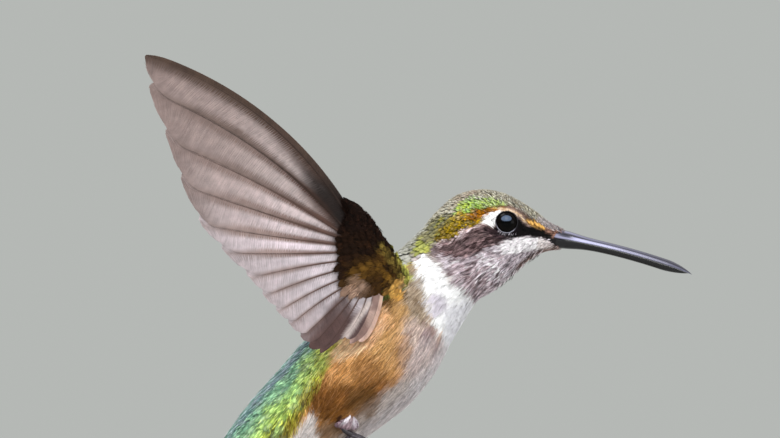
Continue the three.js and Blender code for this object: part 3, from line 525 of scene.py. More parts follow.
# ------------------------------------------------------------------ shapes of one barb and one small feather
def oriented(points, faces):
    """Faces turned so that they point out of a closed shape."""
    p = np.asarray(points, float)
    f = np.asarray(faces, int)
    vol = np.einsum("ij,ij->i", p[f[:, 0]], np.cross(p[f[:, 1]], p[f[:, 2]])).sum()
    return f if vol > 0 else f[:, ::-1]


# a barb: a low three-sided ridge with its widest place in the middle, ending in a point
_cross = [(-1, 0), (1, 0), (0, 1)]
_pts = [(x, y, z) for x in (0, 1) for y, z in _cross] + [(2, 0, 0.3)]
_fs = [(0, 2, 1)]
for _i in range(3):
    _j = (_i + 1) % 3
    _fs += [(_i, _j, 3 + _j), (_i, 3 + _j, 3 + _i), (3 + _i, 3 + _j, 6)]
BARB_FACES = oriented(_pts, _fs)

# a small feather: four rows of left edge, ridge, right edge and underside, and a tip
LEAF_S = np.array([0.0, 0.34, 0.68, 0.90])
LEAF_W = np.array([0.34, 0.86, 1.0, 0.70])
_pts = [(s, y, z) for s, w in zip(LEAF_S, LEAF_W) for y, z in ((-w, 0), (0, 0.4), (w, 0), (0, -0.2))] + [(1.0, 0, 0.05)]
_fs = [(0, 1, 2), (0, 2, 3)]
for _i in range(3):
    for _j in range(4):
        _k = (_j + 1) % 4
        a_, b_, c_, d_ = _i * 4 + _j, _i * 4 + _k, (_i + 1) * 4 + _k, (_i + 1) * 4 + _j
        _fs += [(a_, b_, c_), (a_, c_, d_)]
for _j in range(4):
    _fs.append((12 + _j, 12 + (_j + 1) % 4, 16))
_v = np.asarray(_pts, float)
_f = np.asarray(_fs, int)
# the root's cap has to wind with the sides
_side = np.einsum("ij,ij->i", _v[_f[2:, 0]] - _v.mean(0), np.cross(_v[_f[2:, 1]] - _v.mean(0), _v[_f[2:, 2]] - _v.mean(0))).sum()
if _side < 0:
    _f[2:] = _f[2:, ::-1]
_capn = np.cross(_v[_f[0, 1]] - _v[_f[0, 0]], _v[_f[0, 2]] - _v[_f[0, 0]])[0]
if _capn > 0:
    _f[:2] = _f[:2, ::-1]
LEAF_FACES = _f


def barbs(x, y, z, wide, high):
    """Barbs through three points each: x, y and z are (n, k, 3); wide and high (n, k) or numbers. Gives (n, k * 7, 3)."""
    n, k, _ = x.shape
    out = np.zeros((n, k, 7, 3))
    dx0, dy0 = x[..., 1] - x[..., 0], y[..., 1] - y[..., 0]
    dx1, dy1 = x[..., 2] - x[..., 1], y[..., 2] - y[..., 1]
    l0 = np.hypot(dx0, dy0) + 1e-9
    l1 = np.hypot(dx0 + dx1, dy0 + dy1) + 1e-9
    wide = np.broadcast_to(wide, (n, k))
    high = np.broadcast_to(high, (n, k))
    for row, (nx, ny, w) in enumerate(((-dy0 / l0, dx0 / l0, 0.55), (-(dy0 + dy1) / l1, (dx0 + dx1) / l1, 1.0))):
        for c, (side, up) in enumerate(_cross):
            q = out[:, :, row * 3 + c]
            q[..., 0] = x[..., row] + nx * side * wide * w / 2
            q[..., 1] = y[..., row] + ny * side * wide * w / 2
            q[..., 2] = z[..., row] + up * high * w
    out[:, :, 6, 0], out[:, :, 6, 1], out[:, :, 6, 2] = x[..., 2], y[..., 2], z[..., 2]
    return out.reshape(n, k * 7, 3)


def many(faces, verts_each, count):
    return (faces[None] + (np.arange(count) * verts_each)[:, None, None]).reshape(-1, 3)


def drape(S, a, b, ang, local):
    """Lays local points (n, k, 3), along, across and up from the skin, on a surface from each root (a, b), turned by ang."""
    P, n, Pa, Pb = S.axes(a, b)
    U = unit(Pa - n * (Pa * n).sum(-1, keepdims=True))
    C = np.cross(n, U)
    ca, sa = np.cos(ang)[:, None], np.sin(ang)[:, None]
    d = U * ca + C * sa
    e = C * ca - U * sa
    gaa, gab, gbb = (Pa * Pa).sum(-1), (Pa * Pb).sum(-1), (Pb * Pb).sum(-1)
    det = gaa * gbb - gab * gab

    def steps(x):
        ra, rb = (x * Pa).sum(-1), (x * Pb).sum(-1)
        return (gbb * ra - gab * rb) / det, (gaa * rb - gab * ra) / det

    da, db = steps(d)
    ea, eb = steps(e)
    s, w, h = local[..., 0], local[..., 1], local[..., 2]
    # where the grid is pinched, a step stays within the feather's own reach
    reach = 1.7 * np.hypot(s, w) + 0.05
    far_a, far_b = reach / np.sqrt(gaa)[:, None], reach / np.sqrt(gbb)[:, None]
    A = a[:, None] + np.clip(s * da[:, None] + w * ea[:, None], -far_a, far_a)
    B = b[:, None] + np.clip(s * db[:, None] + w * eb[:, None], -far_b, far_b)
    Ac = np.clip(A, 0, 1)
    pts, nn = S.at(Ac, B, h)
    over = (A - Ac)
    pts = pts + np.clip(over, -0.04, 0.04)[..., None] * Pa[:, None, :]
    return pts, nn


def footprint(S, a, b, ang, L, share=0.6):
    """Where the showing part of each feather lies."""
    n = len(a)
    local = np.zeros((n, 1, 3))
    local[:, 0, 0] = share * np.broadcast_to(L, n)
    local[:, 0, 2] = S._at(S.D, a, b)
    return drape(S, a, b, ang, local)[0][:, 0]


def whole(v, f, longest):
    """Which vertices belong to feathers with no edge over longest and no face folded flat."""
    p = v[f]
    edge = np.linalg.norm(p - np.roll(p, -1, 1), axis=2).max(1)
    area = np.linalg.norm(np.cross(p[:, 1] - p[:, 0], p[:, 2] - p[:, 0]), axis=1)
    e = np.concatenate([f[:, [0, 1]], f[:, [1, 2]]])
    label = np.arange(len(v))
    while True:
        low = np.minimum(label[e[:, 0]], label[e[:, 1]])
        new = label.copy()
        np.minimum.at(new, e[:, 0], low)
        np.minimum.at(new, e[:, 1], low)
        if (new == label).all():
            break
        label = new
    bad = np.zeros(len(v), bool)
    bad[label[f[(edge > longest) | (area < 1e-6), 0]]] = True
    return ~bad[label]


class Coat:
    """One mesh of feathers that all grow from a skin."""

    def __init__(self):
        self.v, self.f, self.c, self.root, self.loc, self.g, self.t, self.n = [], [], [], [], [], [], [], 0

    def add(self, verts, faces, colour, root, local, guide, tint):
        n, k, _ = verts.shape
        self.v.append(verts.reshape(-1, 3))
        self.f.append(many(faces, k, n) + self.n)
        self.c.append(colour.reshape(-1, 3))
        self.root.append(np.repeat(root, k, 0))
        self.loc.append(np.broadcast_to(local, (n, k, 2)).reshape(-1, 2))
        self.g.append(guide.reshape(-1, 3))
        self.t.append(np.broadcast_to(tint, (n, k)).reshape(-1))
        self.n += n * k

    def triangles(self):
        return sum(len(f) for f in self.f)

    def build(self, name, material, slot, soft=0.6, guard=True, longest=None):
        v = np.concatenate(self.v)
        if guard:
            v = clear_of_eye(v)
        f = np.concatenate(self.f)
        kept = np.ones(len(v), bool) if longest is None else whole(v, f, longest)
        f = (np.cumsum(kept) - 1)[f[kept[f].all(1)]]
        v = v[kept]
        root = np.concatenate(self.root)[kept]
        lo, hi = root.min(0), root.max(0)
        uv = 0.01 + 0.975 * (root - lo) / np.maximum(hi - lo, 1e-6) + 0.003 * np.concatenate(self.loc)[kept]
        ob = make_mesh(name, v, f, np.concatenate(self.c)[kept], uv, soft_normals(v, f, np.concatenate(self.g)[kept], soft), material, tint=np.concatenate(self.t)[kept])
        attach(ob, "root")
        print("piece", name, len(f))
        return ob


def soft_normals(v, f, guide, soft):
    """Normals for each corner that lean towards the body's own, so that many fine barbs shade as one coat."""
    fn = np.cross(v[f[:, 1]] - v[f[:, 0]], v[f[:, 2]] - v[f[:, 0]])
    vn = np.zeros_like(v)
    for k in range(3):
        for c in range(3):
            vn[:, c] += np.bincount(f[:, k], fn[:, c], len(v))
    vn, fn = unit(vn), unit(fn)
    own = vn[f]
    own = np.where(((own * fn[:, None]).sum(-1) > 0.1)[..., None], own, fn[:, None])
    lead = guide[f]
    n = unit((1 - soft) * own + soft * lead)
    good = ((n * fn[:, None]).sum(-1) > 0.15) & (((lead * fn[:, None]).sum(-1)) > 0.05)
    n = np.where(good[..., None], n, own)
    return n.reshape(-1, 3)


def clear_of_eye(v, limit=1.31):
    r, off, A = from_eye(v)
    near = r < limit
    if near.any():
        C = np.stack([np.full(near.sum(), EYE_X), np.sign(v[near, 1]) * EYE_Y, np.full(near.sum(), EYE_Z)], -1)
        along = ((v[near] - C) * A[near]).sum(-1)
        ok = along > 0.6
        move = off[near] * ((limit / np.maximum(r[near], 1e-3)) - 1)[:, None]
        v = v.copy()
        v[near] = v[near] + np.where(ok[:, None], move, 0)
    return v


def leaves(coat, S, a, b, ang, L, W, low, high, main, edge, g, tint=0.0, fringe=8, fan=0.5, arch=0.10, tipc=None, rootdark=0.5, fringe_tone=(0.8, 1.0, 1.05), fringe_len=0.26, fringe_w=0.07, streak=None):
    """Small flat feathers with a fringe of barbs. main and edge are their colours, (n, 3)."""
    n = len(a)
    L, W = np.broadcast_to(L, n).astype(float), np.broadcast_to(W, n).astype(float)
    low, high = np.broadcast_to(low, n).astype(float), np.broadcast_to(high, n).astype(float)
    bend = g.normal(0, 0.05, n) * L
    loc = np.zeros((n, 17, 3))

    def middle(s):
        return bend[:, None] * s ** 2

    def height(s):
        return low[:, None] + (high - low)[:, None] * (1.35 * s - 0.35 * s ** 2)

    s = LEAF_S[None].repeat(n, 0)
    for j, (y, z) in enumerate(((-1, 0), (0, 1), (1, 0), (0, -0.45))):
        idx = np.arange(4) * 4 + j
        loc[:, idx, 0] = s * L[:, None] * (0.985 if j in (0, 2) else 1.0)
        loc[:, idx, 1] = middle(s) + y * LEAF_W[None] * W[:, None] / 2
        loc[:, idx, 2] = height(s) + z * arch * W[:, None] * np.array([0.5, 1.0, 1.0, 0.7])[None] - (arch * 0.25 * W[:, None] if j in (0, 2) else 0)
    loc[:, 16, 0] = L
    loc[:, 16, 1] = bend
    loc[:, 16, 2] = high - arch * 0.2 * W
    pts, nn = drape(S, a, b, ang, loc)
    col = np.zeros((n, 17, 3))
    rd = np.broadcast_to(rootdark, n)[:, None]
    tone = [rd, 0.5 + 0.5 * rd, 1.0, 1.0]
    tip = edge if tipc is None else tipc
    for i in range(4):
        for j in range(4):
            c = edge if j in (0, 2) else main
            if i == 3 and j != 1:
                c = 0.5 * (edge + tip)
            col[:, i * 4 + j] = c * tone[i]
    if streak is not None:
        for i in range(1, 4):
            col[:, i * 4 + 1] = streak * tone[i]
    col[:, 16] = tip
    uvl = np.stack([(loc[..., 1] / np.maximum(W, 1e-3)[:, None]) * 0.5, loc[..., 0] / L[:, None] - 0.5], -1)
    root = np.stack([b % 1.0, a], -1)
    coat.add(pts, LEAF_FACES, col, root, np.clip(uvl, -0.5, 0.5), nn, tint if np.ndim(tint) == 0 else np.asarray(tint)[:, None])
    if fringe:
        k = fringe
        q = (np.arange(k) + 0.5) / k * 2 - 1  # from the left edge round the tip to the right edge
        q = q[None] + g.normal(0, 0.04, (n, k))
        s0 = 0.93 - 0.42 * np.abs(q) ** 1.5
        y0 = q * 0.80 * np.sqrt(np.clip(1 - ((s0 - 0.62) / 0.42) ** 2 * (s0 > 0.62), 0.12, 1))
        out = q * fan + g.normal(0, 0.10, (n, k))
        ll = fringe_len * L[:, None] * (0.8 + 0.5 * g.random((n, k)))
        x = np.zeros((n, k, 3)); y = np.zeros((n, k, 3)); z = np.zeros((n, k, 3))
        x[..., 0] = s0 * L[:, None] - 0.4 * ll
        y[..., 0] = middle(s0) + y0 * W[:, None] / 2 * 0.86
        for m, share in ((1, 0.5), (2, 1.0)):
            x[..., m] = x[..., 0] + ll * 1.4 * share * np.cos(out)
            y[..., m] = y[..., 0] + ll * 1.4 * share * np.sin(out)
        lift = g.random((n, k)) * 0.03
        z[..., 0] = height(s0) - 0.01
        z[..., 1] = height(s0) + 0.05 * W[:, None] + lift
        z[..., 2] = height(np.minimum(s0 + 0.2, 1.1)) + 0.02 + lift
        lo = barbs(x, y, z, fringe_w * (0.8 + 0.4 * g.random((n, k))), 0.035)
        pts, nn = drape(S, a, b, ang, lo)
        base = edge[:, None] * 0.6 + main[:, None] * 0.4
        shade = (0.82 + 0.36 * g.random((n, k)))[..., None]
        c3 = np.stack([base * fringe_tone[0] * shade, base * fringe_tone[1] * shade, (0.5 * base + 0.5 * tip[:, None]) * fringe_tone[2] * shade], 2)
        col = np.concatenate([np.repeat(c3[:, :, 0:1], 3, 2), np.repeat(c3[:, :, 1:2], 3, 2), c3[:, :, 2:3]], 2).reshape(n, k * 7, 3)
        uvl = np.clip(np.stack([(lo[..., 1] / np.maximum(W, 1e-3)[:, None]) * 0.5, lo[..., 0] / L[:, None] - 0.5], -1), -0.5, 0.5)
        coat.add(pts, many(BARB_FACES, 7, k), col, root, uvl, nn, tint if np.ndim(tint) == 0 else np.asarray(tint)[:, None])


def locks(coat, S, a, b, ang, L, W, low, high, colour, g, pairs=4, wide=0.11, curl=0.0, tips=None, pale=0.0, rootdark=0.55, spread=1.0, tint=0.0, vary=0.20):
    """Loose feathers: a shaft with pairs of barbs that leave it towards the tip. colour is (n, 3)."""
    n = len(a)
    k = 2 * pairs + 1
    L, W = np.broadcast_to(L, n).astype(float), np.broadcast_to(W, n).astype(float)
    low, high = np.broadcast_to(low, n).astype(float), np.broadcast_to(high, n).astype(float)
    side = np.array([0] + [(-1) ** i for i in range(2 * pairs)], float)[None]
    rank = np.array([0] + [1 + i // 2 for i in range(2 * pairs)], float)[None] / max(pairs, 1)
    jit = g.normal(0, 1, (n, k))
    start = np.where(side == 0, 0.0, 0.62 - 0.55 * rank) + 0.02 * jit
    start = np.clip(start, 0, 0.8)
    end = np.where(side == 0, 1.0, 1.0 - 0.30 * rank ** 1.4) + 0.05 * g.normal(0, 1, (n, k))
    out = side * W[:, None] / 2 * (0.35 + 0.75 * rank) * spread + 0.06 * W[:, None] * g.normal(0, 1, (n, k))
    bend = (curl + g.normal(0, 0.07, n)) * L

    def mid(s):
        return bend[:, None] * s * s

    def height(s):
        return low[:, None] + (high - low)[:, None] * np.clip(1.5 * s - 0.55 * s * s, 0, 1.05)

    x = np.zeros((n, k, 3)); y = np.zeros((n, k, 3)); z = np.zeros((n, k, 3))
    half = (start + end) / 2
    x[..., 0], x[..., 1], x[..., 2] = start * L[:, None], half * L[:, None], end * L[:, None]
    y[..., 0] = mid(start)
    y[..., 1] = mid(half) + out * 0.72
    y[..., 2] = mid(end) + out
    lift = g.random((n, k)) * 0.10 * (high - low)[:, None]
    z[..., 0] = height(start) - 0.02
    z[..., 1] = height(half) + lift
    z[..., 2] = height(end) + lift - 0.03
    lo = barbs(x, y, z, np.broadcast_to(wide, n)[:, None] * (0.75 + 0.5 * g.random((n, k))), np.broadcast_to(wide, n)[:, None] * 0.38)
    pts, nn = drape(S, a, b, ang, lo)
    calm = 1 - 0.75 * smooth(0.5, 0.85, colour @ np.array([0.25, 0.6, 0.15]))
    shade = (1 + vary * calm[:, None] * (2 * g.random((n, k)) - 1))[..., None]
    base = colour[:, None] * shade
    rootdark = np.broadcast_to(rootdark, n)[:, None, None]
    if pale:
        white = (g.random((n, k)) < pale)[..., None]
        base = np.where(white, 0.35 * base + 0.65 * lin((236, 226, 216)), base)
    tipcol = base * 1.12 if tips is None else (0.35 * base + 0.65 * tips[:, None] * shade)
    c3 = np.stack([base * rootdark, base, tipcol], 2)
    col = np.concatenate([np.repeat(c3[:, :, 0:1], 3, 2), np.repeat(c3[:, :, 1:2], 3, 2), c3[:, :, 2:3]], 2).reshape(n, k * 7, 3)
    uvl = np.clip(np.stack([lo[..., 1] / np.maximum(W, 1e-3)[:, None] * 0.5, lo[..., 0] / L[:, None] - 0.5], -1), -0.5, 0.5)
    root = np.stack([b % 1.0, a], -1)
    coat.add(pts, many(BARB_FACES, 7, k), col, root, uvl, nn, tint if np.ndim(tint) == 0 else np.asarray(tint)[:, None])


# ------------------------------------------------------------------ materials
def material(name, roughness=0.6, metallic=0.0, specular=0.5):
    m = bpy.data.materials.new(name)
    m.use_nodes = True
    nt = m.node_tree
    bsdf = nt.nodes["Principled BSDF"]
    bsdf.inputs["Roughness"].default_value = roughness
    bsdf.inputs["Metallic"].default_value = metallic
    bsdf.inputs["Specular IOR Level"].default_value = specular
    return m, nt, bsdf


def node(nt, kind, **values):
    nd = nt.nodes.new(kind)
    for k, val in values.items():
        if hasattr(nd, k):
            setattr(nd, k, val)
        else:
            nd.inputs[k].default_value = val
    return nd


def object_coords(nt, stretch=(1, 1, 1)):
    tc = nt.nodes.new("ShaderNodeTexCoord")
    mp = nt.nodes.new("ShaderNodeMapping")
    mp.inputs["Scale"].default_value = stretch
    nt.links.new(tc.outputs["Object"], mp.inputs["Vector"])
    return mp.outputs["Vector"]


def varied(nt, colour, scale, low, high, detail=3.0, stretch=(1, 1, 1)):
    """The colour made darker and lighter by noise."""
    ns = nt.nodes.new("ShaderNodeTexNoise")
    ns.inputs["Scale"].default_value = scale
    ns.inputs["Detail"].default_value = detail
    nt.links.new(object_coords(nt, stretch), ns.inputs["Vector"])
    mr = nt.nodes.new("ShaderNodeMapRange")
    mr.inputs["From Min"].default_value, mr.inputs["From Max"].default_value = 0.3, 0.7
    mr.inputs["To Min"].default_value, mr.inputs["To Max"].default_value = low, high
    nt.links.new(ns.outputs["Fac"], mr.inputs["Value"])
    vm = nt.nodes.new("ShaderNodeVectorMath")
    vm.operation = "SCALE"
    nt.links.new(colour, vm.inputs[0])
    nt.links.new(mr.outputs["Result"], vm.inputs["Scale"])
    return vm.outputs["Vector"], ns.outputs["Fac"]


def add_bump(nt, bsdf, height, strength, distance):
    bp = nt.nodes.new("ShaderNodeBump")
    bp.inputs["Strength"].default_value = strength
    bp.inputs["Distance"].default_value = distance
    nt.links.new(height, bp.inputs["Height"])
    nt.links.new(bp.outputs["Normal"], bsdf.inputs["Normal"])


def feather_material(name, rough, shiny_rough, metal, sheen, noise_scale=1600.0, through=0.0, specular=0.35):
    """Plumage: colour from the feathers' own markings, with iridescent ones glossier."""
    m, nt, bsdf = material(name, rough, 0.0, specular)
    at = node(nt, "ShaderNodeAttribute", attribute_name="Col")
    col, _ = varied(nt, at.outputs["Color"], noise_scale, 0.86, 1.14)
    nt.links.new(col, bsdf.inputs["Base Color"])
    tn = node(nt, "ShaderNodeAttribute", attribute_name="Tint")
    for sock, lo, hi in (("Roughness", rough, shiny_rough), ("Metallic", 0.0, metal)):
        mr = nt.nodes.new("ShaderNodeMapRange")
        mr.inputs["To Min"].default_value, mr.inputs["To Max"].default_value = lo, hi
        nt.links.new(tn.outputs["Fac"], mr.inputs["Value"])
        nt.links.new(mr.outputs["Result"], bsdf.inputs[sock])
    bsdf.inputs["Sheen Weight"].default_value = sheen
    bsdf.inputs["Sheen Roughness"].default_value = 0.4
    if through:
        out = nt.nodes["Material Output"]
        tr = nt.nodes.new("ShaderNodeBsdfTranslucent")
        nt.links.new(col, tr.inputs["Color"])
        mx = nt.nodes.new("ShaderNodeMixShader")
        mx.inputs["Fac"].default_value = through
        nt.links.new(bsdf.outputs["BSDF"], mx.inputs[1])
        nt.links.new(tr.outputs["BSDF"], mx.inputs[2])
        nt.links.new(mx.outputs["Shader"], out.inputs["Surface"])
    return m


M_SCALE = feather_material("plumage scaled", 0.66, 0.42, 0.25, 0.0, specular=0.06)
M_DOWN = feather_material("plumage loose", 0.78, 0.5, 0.1, 0.03, through=0.12, specular=0.12)
M_COVERT = feather_material("wing coverts", 0.80, 0.42, 0.25, 0.0, specular=0.08)
M_VANE = feather_material("flight feathers", 0.52, 0.4, 0.2, 0.08, 900.0, through=0.38)
M_TAIL = feather_material("tail feathers", 0.50, 0.34, 0.4, 0.08, 900.0, through=0.10)


# ------------------------------------------------------------------ wing sheet
SHOULDER_X, SHOULDER_Y, SHOULDER_Z = 9.36, 6.6, 54.56
PRIMARIES = [
    # p, q, length, heading, bow
    (8.4, -1.49, 31.2, 0.5, -3.0), (8.6, -0.4, 27.9, 4.3, -1.7), (8.9, 0.35, 22.55, 11.8, -0.65), (8.51, 0.95, 19.2, 21.1, 0.0),
    (7.91, 1.65, 16.3, 31.2, 0.1), (7.31, 2.4, 13.3, 39.5, 0.1), (6.64, 3.17, 10.6, 50.6, -0.2), (5.96, 4.0, 9.3, 59.3, -0.2),
    (5.21, 4.93, 8.1, 67.5, -0.2), (4.35, 5.62, 7.3, 75.5, -0.2),
]
SECONDARIES = [
    (3.29, 5.99, 7.1, 82.6, 0.0), (2.53, 5.98, 7.4, 88.5, 0.1), (1.82, 5.72, 7.3, 94.5, 0.2),
    (1.0, 5.22, 4.5, 98.5, 0.2), (0.43, 4.6, 5.5, 102.0, 0.3), (-0.07, 3.89, 5.3, 105.6, 0.3),
]
FLIGHT = PRIMARIES + SECONDARIES
ARM_EDGE = np.array([(-3.2, -0.6), (0.2, -1.4), (3.6, -2.4), (6.6, -3.2), (9.2, -3.45), (10.9, -3.1)])


def wing_point(p, q, lift, side):
    """A point of a wing's sheet. side is -1 for the right wing and 1 for the left; lift is outwards."""
    out = SHOULDER_Y + 0.55 * p + 0.0025 * p * p + 0.3 * q * np.maximum(0, 1 - np.maximum(p, 0) / 15.0) + 0.01 * (q - 4) ** 2
    return np.stack([SHOULDER_X - 0.777 * p - 0.63 * q, side * (out + lift), SHOULDER_Z + 0.63 * p - 0.777 * q], -1)


def wing_normal(p, q, side):
    e = 0.05
    x = wing_point(p + e, q, 0 * p, side) - wing_point(p - e, q, 0 * p, side)
    y = wing_point(p, q + e, 0 * p, side) - wing_point(p, q - e, 0 * p, side)
    n = unit(np.cross(x, y))
    return n * np.sign(n[..., 1:2] * side)


def wing_at(p, q, lift, side):
    return wing_point(p, q, 0 * p, side) + wing_normal(p, q, side) * lift[..., None]


def shaft(feather, f, shift=0.0):
    p, q, length, heading, bow = feather
    c, s = math.cos(math.radians(heading)), math.sin(math.radians(heading))
    along = length * f
    aside = bow * 4 * f * (1 - f) + shift
    return p + along * c - aside * s, q + along * s + aside * c


def curve_through(points, share):
    pts = np.asarray(points, float)
    ext = np.concatenate([[2 * pts[0] - pts[1]], pts, [2 * pts[-1] - pts[-2]]])
    x = np.clip(share, 0, 1 - 1e-9) * (len(pts) - 1)
    i = np.floor(x).astype(int)
    f = (x - i)[..., None]
    a, b, c, d = ext[i], ext[i + 1], ext[i + 2], ext[i + 3]
    return 0.5 * (2 * b + (c - a) * f + (2 * a - 5 * b + 4 * c - d) * f * f + (3 * b - a - 3 * c + d) * f ** 3)


_roots = [(f[0], f[1]) for f in SECONDARIES[::-1]] + [(f[0], f[1]) for f in PRIMARIES[::-1]]
ARM_REAR = np.array([(_roots[0][0] - 3.2, _roots[0][1] - 0.6)] + _roots + [(10.4, -2.3)])


def arm_sink(share):
    """How far the root of the arm is drawn into the body."""
    return 1.5 * (1 - smooth(0.02, 0.30, share))


def arm_grid(side, rows, cols, grow=0.0):
    share = np.linspace(0, 1, rows)
    edge = curve_through(ARM_EDGE, share)
    rear = curve_through(ARM_REAR, share ** 0.9)
    chord = np.linalg.norm(rear - edge, axis=1)
    thick = 3.4 + (0.9 - 3.4) * share ** 0.8 + 2 * grow
    turn = np.arange(cols) / cols * 2 * np.pi
    along = 0.5 - 0.5 * np.cos(turn)
    deep = np.sin(np.pi * along ** 0.62) ** 0.8
    lift = np.sign(np.sin(turn))[None] * np.maximum((0.26 + grow) * np.minimum(1, np.abs(np.sin(turn)) * 4)[None], (thick[:, None] / 2) * np.nan_to_num(deep)[None])
    lift = lift - arm_sink(share)[:, None]
    reach = (-grow / chord)[:, None] + (1 + (2 * grow - 0.3) / chord)[:, None] * along[None]
    p = edge[:, 0:1] + (rear[:, 0:1] - edge[:, 0:1]) * reach
    q = edge[:, 1:2] + (rear[:, 1:2] - edge[:, 1:2]) * reach
    return wing_point(p, q, lift, side), p, q, turn


# ------------------------------------------------------------------ skin: one closed surface over body, wing arms and thighs
THIGH_AT, THIGH_SIZE = (2.9, 5.75, 37.3), (1.75, 0.95, 1.1)


def ring_solid(P):
    """Quads and end fans over rings of points (rows, cols, 3)."""
    rows, cols = P.shape[:2]
    v = np.concatenate([P.reshape(-1, 3), P[0].mean(0)[None], P[-1].mean(0)[None]])
    q = grid_faces(rows, cols, True)
    j = np.arange(cols)
    k = (j + 1) % cols
    n = rows * cols
    caps = np.concatenate([np.stack([np.full(cols, n), k, j], 1), np.stack([np.full(cols, n + 1), (rows - 1) * cols + j, (rows - 1) * cols + k], 1)])
    return v, q, caps


def thigh_grid(side, rows, cols, inset=0.0):
    th = np.linspace(0.02, np.pi - 0.02, rows)[:, None]
    ph = (np.arange(cols) / cols * 2 * np.pi)[None]
    lx, ly, lz = (s - inset for s in THIGH_SIZE)
    x, y, z = lx * np.cos(th) + 0 * ph, ly * np.sin(th) * np.cos(ph), lz * np.sin(th) * np.sin(ph)
    c, s = math.cos(math.radians(40)), math.sin(math.radians(40))
    # turned about Y as the solid is
    X, Z = x * c + z * s, -x * s + z * c
    return np.stack([THIGH_AT[0] + X, side * (THIGH_AT[1] - y), THIGH_AT[2] + Z], -1)


def remeshed(solids, voxel):
    v, q, t, n = [], [], [], 0
    for P in solids:
        a, b, c = ring_solid(P)
        v.append(a); q.append(b + n); t.append(c + n)
        n += len(a)
    me = bpy.data.meshes.new("skin form")
    me.from_pydata(np.concatenate(v).tolist(), [], np.concatenate(q).tolist() + np.concatenate(t).tolist())
    ob = bpy.data.objects.new("skin form", me)
    bpy.context.scene.collection.objects.link(ob)
    md = ob.modifiers.new("one", "REMESH")
    md.mode = "VOXEL"
    md.voxel_size = voxel
    md.adaptivity = 0
    em = ob.evaluated_get(bpy.context.evaluated_depsgraph_get()).to_mesh()
    co = np.empty(len(em.vertices) * 3)
    em.vertices.foreach_get("co", co)
    idx = np.empty(len(em.loops), int)
    em.loops.foreach_get("vertex_index", idx)
    sizes = np.empty(len(em.polygons), int)
    em.polygons.foreach_get("loop_total", sizes)
    assert (sizes == 4).all()
    ob.to_mesh_clear()
    bpy.data.objects.remove(ob)
    bpy.data.meshes.remove(me)
    return co.reshape(-1, 3), idx.reshape(-1, 4)


def smoothed(v, q, times, keep=0.5):
    e = np.concatenate([q[:, [0, 1]], q[:, [1, 2]], q[:, [2, 3]], q[:, [3, 0]]])
    e = np.unique(np.sort(e, 1), axis=0)
    deg = np.bincount(e.ravel(), minlength=len(v)).astype(float)[:, None]
    for i in range(times):
        s = np.zeros_like(v)
        for c in range(3):
            s[:, c] = np.bincount(e[:, 0], v[e[:, 1], c], len(v)) + np.bincount(e[:, 1], v[e[:, 0], c], len(v))
        w = keep if i % 2 == 0 else -keep * 1.04
        v = v + (s / deg - v) * w
    return v


def nearest(points, cloud):
    from mathutils import kdtree
    kd = kdtree.KDTree(len(cloud))
    for i, p in enumerate(cloud):
        kd.insert(p, i)
    kd.balance()
    out = [kd.find(p) for p in points]
    return np.array([o[1] for o in out]), np.array([o[2] for o in out])


